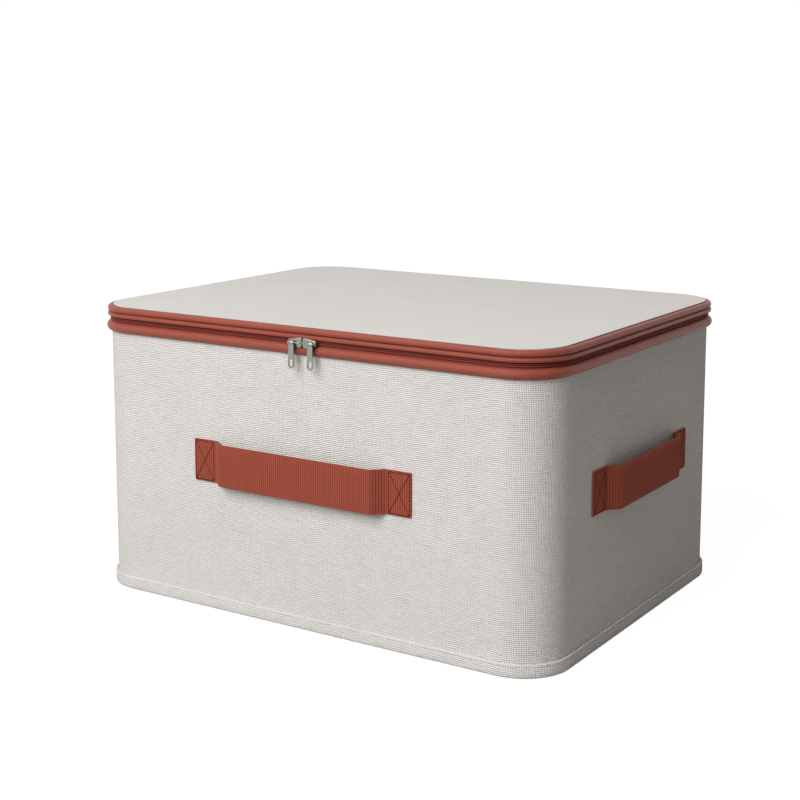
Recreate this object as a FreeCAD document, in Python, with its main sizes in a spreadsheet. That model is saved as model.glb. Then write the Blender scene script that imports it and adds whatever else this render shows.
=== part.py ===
import FreeCAD, Part
import math
import os

import Sketcher
from FreeCAD import Placement, Rotation, Vector

# Foldable cloth storage box: hinged wall boards under linen, a zip lid and webbing handles.
# The origin is on the floor under the middle of the box. X runs to the right, Y to the back and Z up,
# so the front wall with the zip sliders faces -Y.
doc = FreeCAD.newDocument("StorageBox")

# Driving sizes: name, value in millimetres, what it measures.
SIZES = [
    ("width", 500, "over the wall cloth, left to right"),
    ("depth", 380, "over the wall cloth, front to back"),
    ("height", 282, "floor to the top of the lid"),
    ("corner_radius", 44, "upright corners, over the wall cloth"),
    ("layer_gap", 0.1, "between two layers that are sewn together"),
    ("cloth_gap", 0.3, "round curved or loose cloth"),
    ("cloth_thickness", 1.2, "coarse linen of walls and lid"),
    ("board_thickness", 2.0, "stiffening boards in the walls and the rim"),
    ("lining_thickness", 0.7, "smooth inner lining"),
    ("base_cloth_thickness", 1.0, "cloth under and over the base board"),
    ("base_board_thickness", 2.5, "board in the base"),
    ("lid_board_thickness", 3.0, "board in the lid"),
    ("swing_clearance", 1.7, "between a folded wall and the floor lining"),
    ("rim_clearance", 1.0, "between a folded wall and the rim board"),
    ("folded_lean", 12, "degrees that a folded wall stays above level"),
    ("feather", 1.0, "start of the thinned lower edge of the rim cloth, above the fold"),
    ("fold_margin", 24, "room between front and side boards once folded"),
    ("wire_radius", 1.6, "steel wire frames in welt, rim and lid"),
    ("wire_clearance", 0.1, "round the wire in its channel"),
    ("slit_half", 0.4, "half the slit where a wire cover is sewn shut"),
    ("welt_height", 12.4, "cloth welt round the foot"),
    ("welt_projection", 2.7, "welt beyond the wall cloth"),
    ("welt_inset", 2.6, "foot of the welt inside the wall cloth face"),
    ("welt_bevel", 0.7, "rounded edges of the welt"),
    ("rim_band_height", 31.6, "stiff band of wall between top fold and binding"),
    ("binding_height", 9.8, "rounded binding below the zip"),
    ("wire_inset_in_binding", 2.1, "wire centre from the back of the binding"),
    ("tuck_depth", 2.0, "rim cloth behind the binding"),
    ("groove_height", 5.0, "zip groove between binding and lid band"),
    ("lid_band_height", 4.0, "narrow band above the zip"),
    ("lid_band_projection", 4.0, "band beyond the wall cloth"),
    ("lid_band_bevel", 0.8, "rounded edges of the lid band"),
    ("piping_radius", 3.5, "round piping at the edge of the lid"),
    ("piping_projection", 4.2, "piping beyond the wall cloth"),
    ("tape_thickness", 0.9, "zip tape"),
    ("coil_height", 1.4, "one half of the zip coil"),
    ("coil_depth", 1.6, "zip coil in front of its tape"),
    ("coil_gap", 0.3, "between the two halves of the coil"),
    ("zip_end_inset", 59, "zip ends from the sides, along the back"),
    ("webbing_width", 40, "handle webbing"),
    ("webbing_thickness", 1.8, "handle webbing"),
    ("front_handle_length", 242, "front handle, over its sewn ends"),
    ("side_handle_length", 204, "side handles, over their sewn ends"),
    ("patch_length", 24, "sewn end of a handle"),
    ("leg_run", 14, "bend between sewn end and grip, along the wall"),
    ("handle_standoff", 10, "finger gap behind the grip"),
    ("handle_above_knee", 26.5, "middle of a handle above the middle fold"),
    ("zip_meeting_x", 9.5, "where the two sliders meet"),
    ("slider_nose_gap", 0.3, "slider nose from the meeting point"),
    ("slider_length", 15.2, "slider body"),
    ("slider_height", 9.6, "slider body"),
    ("slider_end_height", 6.6, "slider body at its two ends"),
    ("slider_shoulder", 3.4, "taper at each end of the slider body"),
    ("slider_thickness", 1.6, "face plate of the slider"),
    ("slider_clearance", 0.3, "face plate in front of the binding"),
    ("flange_thickness", 0.6, "slider flange that runs in the groove"),
    ("flange_clearance", 0.15, "slider flange above the binding"),
    ("bail_radius", 0.7, "bar that the pull hangs from"),
    ("bail_post", 1.4, "posts of the bar, along the slider"),
    ("bail_inset", 0.5, "posts from the ends of the slider"),
    ("eye_radius", 1.8, "eye of the pull, outside"),
    ("eye_clearance", 0.3, "eye round the bar, and eye to face plate"),
    ("pull_width", 6.0, "pull tab"),
    ("pull_length", 25.5, "pull tab over all"),
    ("pull_thickness", 1.2, "pull tab"),
    ("pull_ring_radius", 3.4, "round lower end of the pull tab"),
    ("pull_hole_radius", 1.7, "oval hole, half its width"),
    ("pull_hole_length", 3.4, "oval hole, straight part"),
    ("pull_outward", 10.1, "middle of the pull from the slider nose"),
]

sheet = doc.addObject("Spreadsheet::Sheet", "Sizes")
for row, (name, value, note) in enumerate(SIZES, start=1):
    sheet.set(f"A{row}", name)
    sheet.set(f"B{row}", str(value))
    sheet.set(f"C{row}", note)
    sheet.setAlias(f"B{row}", name)
doc.recompute()

# Places that follow from the sizes. Layers are counted inward from the outer face of the wall cloth.
HALF_X = "(Sizes.width / 2)"
HALF_Y = "(Sizes.depth / 2)"
BOARD_OUT = "(Sizes.cloth_thickness + Sizes.layer_gap)"
LINING_OUT = f"({BOARD_OUT} + Sizes.board_thickness + Sizes.layer_gap)"
WALL = f"({LINING_OUT} + Sizes.lining_thickness)"
BASE_BOARD_Z = "(Sizes.base_cloth_thickness + Sizes.layer_gap)"
FLOOR_LINING_Z = f"({BASE_BOARD_Z} + Sizes.base_board_thickness + Sizes.layer_gap)"
FLOOR_TOP = f"({FLOOR_LINING_Z} + Sizes.base_cloth_thickness)"
BOTTOM_FOLD_Z = f"({FLOOR_TOP} + {WALL} + Sizes.swing_clearance)"

PIPING_Z = "(Sizes.height - Sizes.piping_radius)"
LID_BAND_TOP = f"({PIPING_Z} - Sizes.piping_radius - Sizes.layer_gap)"
LID_BAND_Z = f"({LID_BAND_TOP} - Sizes.lid_band_height)"
BINDING_TOP = f"({LID_BAND_Z} - Sizes.groove_height)"
BINDING_Z = f"({BINDING_TOP} - Sizes.binding_height)"
TOP_FOLD_Z = f"({BINDING_Z} - Sizes.rim_band_height)"
HALF_WALL = f"(({TOP_FOLD_Z} - {BOTTOM_FOLD_Z}) / 2)"
KNEE_Z = f"({BOTTOM_FOLD_Z} + {HALF_WALL})"
ZIP_Z = f"({BINDING_TOP} + Sizes.groove_height / 2)"
RIM_CLOTH_TOP = f"({BINDING_Z} + Sizes.tuck_depth)"
TAPE_Z = f"({RIM_CLOTH_TOP} + Sizes.layer_gap)"
LID_TAPE_TOP = f"({LID_BAND_TOP} - Sizes.layer_gap)"
BINDING_PROJECTION = "(Sizes.layer_gap + Sizes.binding_height / 2)"
PIPING_MID = "(Sizes.piping_projection - Sizes.piping_radius)"
LID_INSET = f"(Sizes.piping_radius - {PIPING_MID} + Sizes.cloth_gap)"
LID_CLOTH_Z = "(Sizes.height - Sizes.cloth_thickness)"
# The lid cloth lies above the piping's widest part, so its edge reaches further over it.
LID_CLOTH_REACH = (
    "sqrt(pow(Sizes.piping_radius + Sizes.cloth_gap; 2)"
    " - pow(Sizes.piping_radius - Sizes.cloth_thickness; 2))"
)
LID_CLOTH_INSET = f"({LID_CLOTH_REACH} - {PIPING_MID})"
LID_BOARD_Z = f"({LID_CLOTH_Z} - Sizes.layer_gap - Sizes.lid_board_thickness)"
LID_LINING_Z = f"({LID_BOARD_Z} - Sizes.layer_gap - Sizes.lining_thickness)"
CHANNEL = "(Sizes.wire_radius + Sizes.wire_clearance)"
WELT_FOOT = f"({BOTTOM_FOLD_Z} - {WALL} - Sizes.wire_clearance)"
WELT_WIRE_Z = f"({WELT_FOOT} / 2)"
HANDLE_Z = f"({KNEE_Z} + Sizes.handle_above_knee)"

parts = []


def number(expression):
    """The present value of an expression on the sizes."""
    return float(sheet.evalExpression(expression))


def new_body(label):
    body = doc.addObject("PartDesign::Body", label)
    body.Label = label
    parts.append(body)
    return body


def new_sketch(body, name, role, offset=None):
    """An empty sketch on one of the body's own planes, moved along that plane's normal."""
    sketch = body.newObject("Sketcher::SketchObject", name)
    plane = next(p for p in body.Origin.OriginFeatures if p.Role == role)
    sketch.AttachmentSupport = [(plane, "")]
    sketch.MapMode = "FlatFace"
    if offset:
        sketch.setExpression("AttachmentOffset.Base.z", offset)
    return sketch


def bind(sketch, constraint, expression):
    """Adds a constraint whose value follows an expression."""
    index = sketch.addConstraint(constraint)
    name = f"size_{index}"
    sketch.renameConstraint(index, name)
    sketch.setExpression(f"Constraints.{name}", expression)


def fix_point(sketch, geometry, end, x, y):
    """Holds a point at sketch coordinates given as expressions, where 0 is an axis."""
    for kind, axis, value in (("DistanceX", -2, x), ("DistanceY", -1, y)):
        if value == "0":
            sketch.addConstraint(Sketcher.Constraint("PointOnObject", geometry, end, axis))
        else:
            constraint = Sketcher.Constraint(kind, -1, 1, geometry, end, number(value))
            bind(sketch, constraint, value)


def add_polygon(sketch, points):
    corners = [Vector(number(x), number(y), 0) for x, y in points]
    first = sketch.GeometryCount
    count = len(corners)
    for index, corner in enumerate(corners):
        sketch.addGeometry(Part.LineSegment(corner, corners[(index + 1) % count]), False)
    for index, (x, y) in enumerate(points):
        following = first + (index + 1) % count
        sketch.addConstraint(Sketcher.Constraint("Coincident", first + index, 2, following, 1))
        fix_point(sketch, first + index, 1, x, y)


def add_rectangle(sketch, low_x, high_x, low_y, high_y):
    add_polygon(sketch, [(low_x, low_y), (high_x, low_y), (high_x, high_y), (low_x, high_y)])


def add_circle(sketch, x, y, radius):
    centre = Vector(number(x), number(y), 0)
    circle = sketch.addGeometry(Part.Circle(centre, Vector(0, 0, 1), number(radius)), False)
    bind(sketch, Sketcher.Constraint("Radius", circle, number(radius)), radius)
    fix_point(sketch, circle, 3, x, y)


def add_arc(sketch, x, y, radius, start_degrees, end_degrees):
    """An arc whose centre and radius are held; its ends are left to what they join."""
    centre = Vector(number(x), number(y), 0)
    circle = Part.Circle(centre, Vector(0, 0, 1), number(radius))
    shape = Part.ArcOfCircle(circle, math.radians(start_degrees), math.radians(end_degrees))
    arc = sketch.addGeometry(shape, False)
    bind(sketch, Sketcher.Constraint("Radius", arc, number(radius)), radius)
    fix_point(sketch, arc, 3, x, y)
    return arc


def add_line(sketch, start, end):
    return sketch.addGeometry(Part.LineSegment(Vector(*start, 0), Vector(*end, 0)), False)


def join(sketch, first, second):
    sketch.addConstraint(Sketcher.Constraint("Coincident", first, 2, second, 1))


def add_outline(sketch, outset):
    """The box's plan outline, moved outward by outset: four straights and four quarter arcs."""
    half_x = number(f"{HALF_X} + {outset}")
    half_y = number(f"{HALF_Y} + {outset}")
    radius = number(f"Sizes.corner_radius + {outset}")
    first = sketch.GeometryCount
    quarter = math.pi / 2
    for turn in range(4):
        across, along = (half_y, half_x) if turn % 2 == 0 else (half_x, half_y)
        rotate = Rotation(Vector(0, 0, 1), 90 * turn)
        start = rotate.multVec(Vector(radius - along, -across, 0))
        end = rotate.multVec(Vector(along - radius, -across, 0))
        centre = rotate.multVec(Vector(along - radius, radius - across, 0))
        circle = Part.Circle(centre, Vector(0, 0, 1), radius)
        sketch.addGeometry(Part.LineSegment(start, end), False)
        arc = Part.ArcOfCircle(circle, quarter * (turn - 1), quarter * turn)
        sketch.addGeometry(arc, False)
    for index in range(8):
        following = first + (index + 1) % 8
        sketch.addConstraint(Sketcher.Constraint("Tangent", first + index, 2, following, 1))
    for line, kind in ((0, "Horizontal"), (2, "Vertical"), (4, "Horizontal"), (6, "Vertical")):
        sketch.addConstraint(Sketcher.Constraint(kind, first + line))
    for arc in (1, 3, 5):
        sketch.addConstraint(Sketcher.Constraint("Equal", first + arc, first + arc + 2))
    sketch.addConstraint(Sketcher.Constraint("Symmetric", first + 1, 3, first + 5, 3, -1, 1))
    bind(sketch, Sketcher.Constraint("Radius", first + 1, radius), f"Sizes.corner_radius + {outset}")
    bind(sketch, Sketcher.Constraint("DistanceX", -1, 1, first + 2, 1, half_x), f"{HALF_X} + {outset}")
    bind(sketch, Sketcher.Constraint("DistanceY", -1, 1, first + 4, 1, half_y), f"{HALF_Y} + {outset}")


def pad(body, sketch, length, reverse=False, both_ways=False):
    """Thickens a sketch; reverse goes against the plane's normal."""
    feature = body.newObject("PartDesign::Pad", f"{sketch.Name}_pad")
    feature.Profile = sketch
    feature.setExpression("Length", length)
    feature.Reversed = reverse
    feature.Midplane = both_ways
    return feature


def cut_through(body, sketch):
    """Cuts a sketch right through the body, on both sides of its plane."""
    feature = body.newObject("PartDesign::Pocket", f"{sketch.Name}_cut")
    feature.Profile = sketch
    feature.Type = "ThroughAll"
    feature.Midplane = True
    return feature


def pipe(body, kind, section, path):
    feature = body.newObject(f"PartDesign::{kind}", f"{section.Name}_sweep")
    feature.Profile = section
    edges = [f"Edge{index + 1}" for index in range(path.GeometryCount)]
    feature.Spine = (path, edges)
    return feature


def rounded_plate(label, outset, bottom, thickness):
    body = new_body(label)
    sketch = new_sketch(body, f"{label}_outline", "XY_Plane", bottom)
    add_outline(sketch, outset)
    pad(body, sketch, thickness)
    return body


def upright_ring(label, outer, inner, bottom, height):
    """A band that stands round the box between two outlines."""
    body = new_body(label)
    sketch = new_sketch(body, f"{label}_outline", "XY_Plane", bottom)
    add_outline(sketch, outer)
    add_outline(sketch, inner)
    pad(body, sketch, height)
    return body


def open_at_back(body, half_gap):
    """Cuts the back straight out of a ring, which leaves the zip on three sides."""
    sketch = new_sketch(body, f"{body.Label}_back_gap", "XY_Plane")
    beyond = f"{HALF_Y} + Sizes.corner_radius"
    add_rectangle(sketch, f"-{half_gap}", half_gap, "Sizes.corner_radius", beyond)
    cut_through(body, sketch)


def ring_path(body, outset, level):
    path = new_sketch(body, f"{body.Label}_path", "XY_Plane", level)
    add_outline(path, outset)
    return path


def wire_ring(label, outset, level):
    """A round wire bent to the box's outline."""
    body = new_body(label)
    path = ring_path(body, outset, level)
    section = new_sketch(body, f"{label}_section", "YZ_Plane")
    add_circle(section, f"-{HALF_Y} - {outset}", level, "Sizes.wire_radius")
    pipe(body, "AdditivePipe", section, path)


def wire_channel(body, path, outset, level, mouth):
    """Cuts the wire's channel and the sewn slit that opens it inward, as one keyhole."""
    section = new_sketch(body, f"{body.Label}_channel", "YZ_Plane")
    y = f"-{HALF_Y} - {outset}"
    lean = math.degrees(math.asin(number(f"Sizes.slit_half / {CHANNEL}")))
    arc = add_arc(section, y, level, CHANNEL, lean, 360 - lean)
    reach = number(f"{y} + {CHANNEL}")
    mouth_y = number(f"-{HALF_Y} + {mouth}")
    low = number(f"{level} - Sizes.slit_half")
    high = number(f"{level} + Sizes.slit_half")
    lower = add_line(section, (reach, low), (mouth_y, low))
    closing = add_line(section, (mouth_y, low), (mouth_y, high))
    upper = add_line(section, (mouth_y, high), (reach, high))
    for first, second in ((arc, lower), (lower, closing), (closing, upper), (upper, arc)):
        join(section, first, second)
    section.addConstraint(Sketcher.Constraint("Horizontal", lower))
    section.addConstraint(Sketcher.Constraint("Horizontal", upper))
    fix_point(section, closing, 1, f"-{HALF_Y} + {mouth}", f"{level} - Sizes.slit_half")
    fix_point(section, closing, 2, f"-{HALF_Y} + {mouth}", f"{level} + Sizes.slit_half")
    pipe(body, "SubtractivePipe", section, path)


# Base: bottom cloth, board and floor lining inside a welt that hides a wire frame.
WELT_EDGE = "(Sizes.welt_inset + Sizes.cloth_gap)"
rounded_plate("bottom_cloth", f"(-{WELT_EDGE})", None, "Sizes.base_cloth_thickness")
rounded_plate("base_board", f"(-{WALL})", BASE_BOARD_Z, "Sizes.base_board_thickness")
rounded_plate("floor_lining", f"(-{WALL} - Sizes.cloth_gap)", FLOOR_LINING_Z, "Sizes.base_cloth_thickness")

welt = new_body("base_welt")
welt_path = ring_path(welt, "0", WELT_WIRE_Z)
welt_section = new_sketch(welt, "welt_section", "YZ_Plane")
welt_out = f"-{HALF_Y} - Sizes.welt_projection"
welt_lip = f"-{HALF_Y} - Sizes.cloth_gap"
welt_in = f"-{HALF_Y} + Sizes.welt_inset"
add_polygon(
    welt_section,
    [
        (welt_in, "0"),
        (f"{welt_out} + Sizes.welt_bevel", "0"),
        (welt_out, "Sizes.welt_bevel"),
        (welt_out, "Sizes.welt_height - Sizes.welt_bevel"),
        (f"{welt_out} + Sizes.welt_bevel", "Sizes.welt_height"),
        (welt_lip, "Sizes.welt_height"),
        (welt_lip, WELT_FOOT),
        (welt_in, WELT_FOOT),
    ],
)
pipe(welt, "AdditivePipe", welt_section, welt_path)
wire_channel(welt, welt_path, "0", WELT_WIRE_Z, "Sizes.welt_inset + Sizes.cloth_gap")
wire_ring("base_wire", "0", WELT_WIRE_Z)

# Walls: each has a lower and an upper half board with its cloth. The front and back halves are cut
# at 45 degrees towards the middle fold, so that they clear the side halves when all four fold in.
WALLS = [
    ("front", 0, HALF_X, HALF_Y, True),
    ("right", 90, HALF_Y, HALF_X, False),
    ("back", 180, HALF_X, HALF_Y, True),
    ("left", 270, HALF_Y, HALF_X, False),
]


def place_on_wall(body, turn):
    """Turns a piece that was drawn on the front wall on to another wall; the turn is about Z."""
    body.Placement = Placement(Vector(0, 0, 0), Rotation(Vector(0, 0, 1), turn))


def half_panel(label, turn, half_run, wall_face, mitred, fold, sign, knee_gap, layer, thickness):
    """One layer of a half wall, from its outer fold to the middle fold; sign is 1 below it, -1 above."""
    body = new_body(label)
    # The front wall's plane points outward, so a depth inside the wall is a negative offset.
    sketch = new_sketch(body, f"{label}_outline", "XZ_Plane", f"{wall_face} - {layer}")
    edge = f"({half_run} - Sizes.corner_radius - {knee_gap})"
    shoulder = "(Sizes.corner_radius - Sizes.fold_margin)"
    tip = f"({half_run} - {HALF_WALL} - Sizes.fold_margin)"
    start = f"{fold} + {sign} * {knee_gap}"
    knee = f"{KNEE_Z} - {sign} * {knee_gap}"
    if mitred:
        turn_level = f"{fold} + {sign} * {shoulder}"
        right = [(edge, start), (edge, turn_level), (tip, knee)]
    else:
        right = [(edge, start), (edge, knee)]
    left = [(f"-{x}", z) for x, z in reversed(right)]
    add_polygon(sketch, right + left)
    pad(body, sketch, thickness, reverse=True)
    place_on_wall(body, turn)


for wall, turn, half_run, wall_face, mitred in WALLS:
    for half, fold, sign in (("lower", BOTTOM_FOLD_Z, 1), ("upper", TOP_FOLD_Z, -1)):
        shape = (turn, half_run, wall_face, mitred, fold, sign)
        half_panel(f"{wall}_{half}_cloth", *shape, "Sizes.layer_gap", "0", "Sizes.cloth_thickness")
        half_panel(f"{wall}_{half}_board", *shape, "Sizes.cloth_gap", BOARD_OUT, "Sizes.board_thickness")


def corner_cloth(label, side, turn):
    """Cloth of one upright corner, with the triangle that folds in behind a mitred half wall."""
    body = new_body(label)
    centre_x = f"{side} * ({HALF_X} - Sizes.corner_radius)"
    centre_y = f"(Sizes.corner_radius - {HALF_Y})"
    bottom = f"{BOTTOM_FOLD_Z} + Sizes.layer_gap"
    bend = new_sketch(body, f"{label}_bend", "XY_Plane", bottom)
    inner = "(Sizes.corner_radius - Sizes.cloth_thickness)"
    start = 270 if side > 0 else 180
    outer_arc = add_arc(bend, centre_x, centre_y, "Sizes.corner_radius", start, start + 90)
    inner_arc = add_arc(bend, centre_x, centre_y, inner, start, start + 90)
    x, y = number(centre_x), number(centre_y)
    radii = (number("Sizes.corner_radius"), number(inner))
    front_ends = [(x, y - radius) for radius in radii]
    side_ends = [(x + side * radius, y) for radius in radii]
    first, last = (front_ends, side_ends) if side > 0 else (side_ends, front_ends)
    start_line = add_line(bend, *first)
    end_line = add_line(bend, *last)
    for line, end in ((start_line, 1), (end_line, 2)):
        bend.addConstraint(Sketcher.Constraint("Coincident", line, 1, outer_arc, end))
        bend.addConstraint(Sketcher.Constraint("Coincident", line, 2, inner_arc, end))
    kinds = ("Vertical", "Horizontal") if side > 0 else ("Horizontal", "Vertical")
    bend.addConstraint(Sketcher.Constraint(kinds[0], start_line))
    bend.addConstraint(Sketcher.Constraint(kinds[1], end_line))
    pad(body, bend, f"2 * ({HALF_WALL} - Sizes.layer_gap)")
    gusset = new_sketch(body, f"{label}_gusset", "XZ_Plane", HALF_Y)
    shoulder = "(Sizes.corner_radius - Sizes.fold_margin + Sizes.cloth_gap)"
    tip = f"{side} * ({HALF_X} - {HALF_WALL} - Sizes.fold_margin + Sizes.cloth_gap)"
    corners = [
        (centre_x, f"{BOTTOM_FOLD_Z} + {shoulder}"),
        (centre_x, f"{TOP_FOLD_Z} - {shoulder}"),
        (tip, KNEE_Z),
    ]
    add_polygon(gusset, corners)
    pad(body, gusset, "Sizes.cloth_thickness", reverse=True)
    place_on_wall(body, turn)


for label, side, turn in (
    ("front_right_corner_cloth", 1, 0),
    ("front_left_corner_cloth", -1, 0),
    ("back_left_corner_cloth", 1, 180),
    ("back_right_corner_cloth", -1, 180),
):
    corner_cloth(label, side, turn)

LINING_BOTTOM = f"({FLOOR_TOP} + Sizes.layer_gap)"
upright_ring(
    "wall_lining", f"(-{LINING_OUT})", f"(-{WALL})", LINING_BOTTOM, f"{BINDING_TOP} - {LINING_BOTTOM}"
)

# Rim: cloth and board band, a binding round the upper wire frame, and the body's half of the zip.
RIM_BOARD_Z = f"({TOP_FOLD_Z} + {WALL} + Sizes.rim_clearance)"
RIM_BOARD_IN = f"(-{BOARD_OUT} - Sizes.board_thickness)"
# The rim cloth thins towards the fold, because a wall's upper edge swings up behind it.
FOLD_SLOPE = "tan(Sizes.folded_lean * 1 deg)"
rim_cloth = new_body("rim_cloth")
rim_path = ring_path(rim_cloth, "0", TOP_FOLD_Z)
rim_section = new_sketch(rim_cloth, "rim_section", "YZ_Plane")
rim_in = f"-{HALF_Y} + Sizes.cloth_thickness"
rim_shoulder = f"({WALL} + Sizes.rim_clearance) * {FOLD_SLOPE} - Sizes.layer_gap"
rim_edge = f"Sizes.feather * {FOLD_SLOPE} - Sizes.layer_gap"
add_polygon(
    rim_section,
    [
        (f"-{HALF_Y}", f"{TOP_FOLD_Z} + Sizes.feather"),
        (f"-{HALF_Y}", RIM_CLOTH_TOP),
        (rim_in, RIM_CLOTH_TOP),
        (rim_in, RIM_BOARD_Z),
        (f"-{HALF_Y} + {rim_shoulder}", RIM_BOARD_Z),
        (f"-{HALF_Y} + {rim_edge}", f"{TOP_FOLD_Z} + Sizes.feather"),
    ],
)
pipe(rim_cloth, "AdditivePipe", rim_section, rim_path)
upright_ring("rim_board", f"(-{BOARD_OUT})", RIM_BOARD_IN, RIM_BOARD_Z, f"{BINDING_TOP} - {RIM_BOARD_Z}")

BINDING_MID = f"({BINDING_Z} + Sizes.binding_height / 2)"
BINDING_WIRE = "(Sizes.layer_gap + Sizes.wire_inset_in_binding)"
binding = new_body("rim_binding")
binding_path = ring_path(binding, BINDING_WIRE, BINDING_MID)
binding_section = new_sketch(binding, "binding_section", "YZ_Plane")
binding_back = f"-{HALF_Y} - Sizes.layer_gap"
binding_arc = add_arc(binding_section, binding_back, BINDING_MID, "Sizes.binding_height / 2", 90, 270)
binding_line = add_line(
    binding_section,
    (number(binding_back), number(BINDING_Z)),
    (number(binding_back), number(BINDING_TOP)),
)
join(binding_section, binding_arc, binding_line)
join(binding_section, binding_line, binding_arc)
binding_section.addConstraint(Sketcher.Constraint("Vertical", binding_line))
binding_section.addConstraint(Sketcher.Constraint("PointOnObject", binding_arc, 3, binding_line))
pipe(binding, "AdditivePipe", binding_section, binding_path)
wire_channel(binding, binding_path, BINDING_WIRE, BINDING_MID, "Sizes.cloth_gap")
wire_ring("rim_wire", BINDING_WIRE, BINDING_MID)

ZIP_HALF = "(Sizes.coil_gap / 2)"
ZIP_BACK_GAP = f"({HALF_X} - Sizes.zip_end_inset)"
COIL_IN = "Sizes.layer_gap"
COIL_OUT = "(Sizes.layer_gap + Sizes.coil_depth)"
BODY_COIL_Z = f"({ZIP_Z} - {ZIP_HALF} - Sizes.coil_height)"
LID_COIL_Z = f"({ZIP_Z} + {ZIP_HALF})"
TAPE_BACK = "(-Sizes.tape_thickness)"
for label, outer, inner, bottom, height in (
    ("body_zip_tape", "0", TAPE_BACK, TAPE_Z, f"{ZIP_Z} - {ZIP_HALF} - {TAPE_Z}"),
    ("body_zip_coil", COIL_OUT, COIL_IN, BODY_COIL_Z, "Sizes.coil_height"),
    ("lid_zip_tape", "0", TAPE_BACK, LID_COIL_Z, f"{LID_TAPE_TOP} - {LID_COIL_Z}"),
    ("lid_zip_coil", COIL_OUT, COIL_IN, LID_COIL_Z, "Sizes.coil_height"),
):
    open_at_back(upright_ring(label, outer, inner, bottom, height), ZIP_BACK_GAP)

hinge_cloth = new_body("back_hinge_cloth")
hinge_sketch = new_sketch(hinge_cloth, "hinge_outline", "XZ_Plane", HALF_Y)
hinge_half = f"({ZIP_BACK_GAP} - Sizes.cloth_gap)"
add_rectangle(hinge_sketch, f"-{hinge_half}", hinge_half, TAPE_Z, LID_TAPE_TOP)
pad(hinge_cloth, hinge_sketch, "Sizes.tape_thickness", reverse=True)
place_on_wall(hinge_cloth, 180)

# Lid: board between smooth cloth and lining, a piping round its wire frame, and a band over the zip.
piping = new_body("lid_piping")
piping_path = ring_path(piping, PIPING_MID, PIPING_Z)
piping_section = new_sketch(piping, "piping_section", "YZ_Plane")
add_circle(piping_section, f"-{HALF_Y} - {PIPING_MID}", PIPING_Z, "Sizes.piping_radius")
pipe(piping, "AdditivePipe", piping_section, piping_path)
wire_channel(piping, piping_path, PIPING_MID, PIPING_Z, LID_INSET)
wire_ring("lid_wire", PIPING_MID, PIPING_Z)
rounded_plate("lid_top_cloth", f"(-{LID_CLOTH_INSET})", LID_CLOTH_Z, "Sizes.cloth_thickness")
rounded_plate("lid_board", f"(-{LID_INSET})", LID_BOARD_Z, "Sizes.lid_board_thickness")
rounded_plate("lid_lining", f"(-{LID_INSET})", LID_LINING_Z, "Sizes.lining_thickness")

band = new_body("lid_band")
band_path = ring_path(band, "0", LID_BAND_Z)
band_section = new_sketch(band, "band_section", "YZ_Plane")
band_out = f"-{HALF_Y} - Sizes.lid_band_projection"
band_in = f"-{HALF_Y} - Sizes.layer_gap"
add_polygon(
    band_section,
    [
        (band_in, LID_BAND_Z),
        (f"{band_out} + Sizes.lid_band_bevel", LID_BAND_Z),
        (band_out, f"{LID_BAND_Z} + Sizes.lid_band_bevel"),
        (band_out, f"{LID_BAND_TOP} - Sizes.lid_band_bevel"),
        (f"{band_out} + Sizes.lid_band_bevel", LID_BAND_TOP),
        (band_in, LID_BAND_TOP),
    ],
)
pipe(band, "AdditivePipe", band_section, band_path)

# Handles: a strap with two sewn ends, two bends and a grip that stands off the wall.
STRAP_LOW = f"({HANDLE_Z} - Sizes.webbing_width / 2)"
STRAP_HIGH = f"({HANDLE_Z} + Sizes.webbing_width / 2)"
LEG_RISE = "Sizes.handle_standoff"
LEG_RADIUS = f"((pow(Sizes.leg_run; 2) + pow({LEG_RISE}; 2)) / (4 * {LEG_RISE}))"


def strap_plate(label, turn, low_x, high_x, offset):
    """A flat length of webbing at a distance in front of the wall."""
    body = new_body(label)
    sketch = new_sketch(body, f"{label}_outline", "XZ_Plane", offset)
    add_rectangle(sketch, low_x, high_x, STRAP_LOW, STRAP_HIGH)
    pad(body, sketch, "Sizes.webbing_thickness")
    place_on_wall(body, turn)


def strap_leg(label, turn, side, wall_face, outer_x, inner_x):
    """The double bend between a sewn end and the grip: two equal arcs that meet halfway."""
    body = new_body(label)
    half = "Sizes.webbing_thickness / 2"
    low = f"(-{wall_face} - Sizes.layer_gap - {half})"
    high = f"({low} - {LEG_RISE})"
    path = new_sketch(body, f"{label}_path", "XY_Plane", HANDLE_Z)
    lean = math.degrees(math.asin(number(f"Sizes.leg_run / (2 * {LEG_RADIUS})")))
    wall_arc_ends = (90 - lean, 90) if side < 0 else (90, 90 + lean)
    grip_arc_ends = (270 - lean, 270) if side < 0 else (270, 270 + lean)
    wall_arc = add_arc(path, f"{side} * {outer_x}", f"{low} - {LEG_RADIUS}", LEG_RADIUS, *wall_arc_ends)
    grip_centre = Vector(side * number(inner_x), number(f"{high} + {LEG_RADIUS}"), 0)
    circle = Part.Circle(grip_centre, Vector(0, 0, 1), number(LEG_RADIUS))
    shape = Part.ArcOfCircle(circle, *(math.radians(angle) for angle in grip_arc_ends))
    grip_arc = path.addGeometry(shape, False)
    middle_end, wall_end = (1, 2) if side < 0 else (2, 1)
    path.addConstraint(Sketcher.Constraint("Equal", wall_arc, grip_arc))
    path.addConstraint(Sketcher.Constraint("Tangent", wall_arc, middle_end, grip_arc, middle_end))
    for arc, x in ((wall_arc, outer_x), (grip_arc, inner_x)):
        constraint = Sketcher.Constraint("DistanceX", -1, 1, arc, wall_end, side * number(x))
        bind(path, constraint, f"{side} * {x}")
    section = new_sketch(body, f"{label}_section", "YZ_Plane", f"{side} * {outer_x}")
    add_rectangle(section, f"{low} - {half}", f"{low} + {half}", STRAP_LOW, STRAP_HIGH)
    pipe(body, "AdditivePipe", section, path)
    place_on_wall(body, turn)


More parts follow.
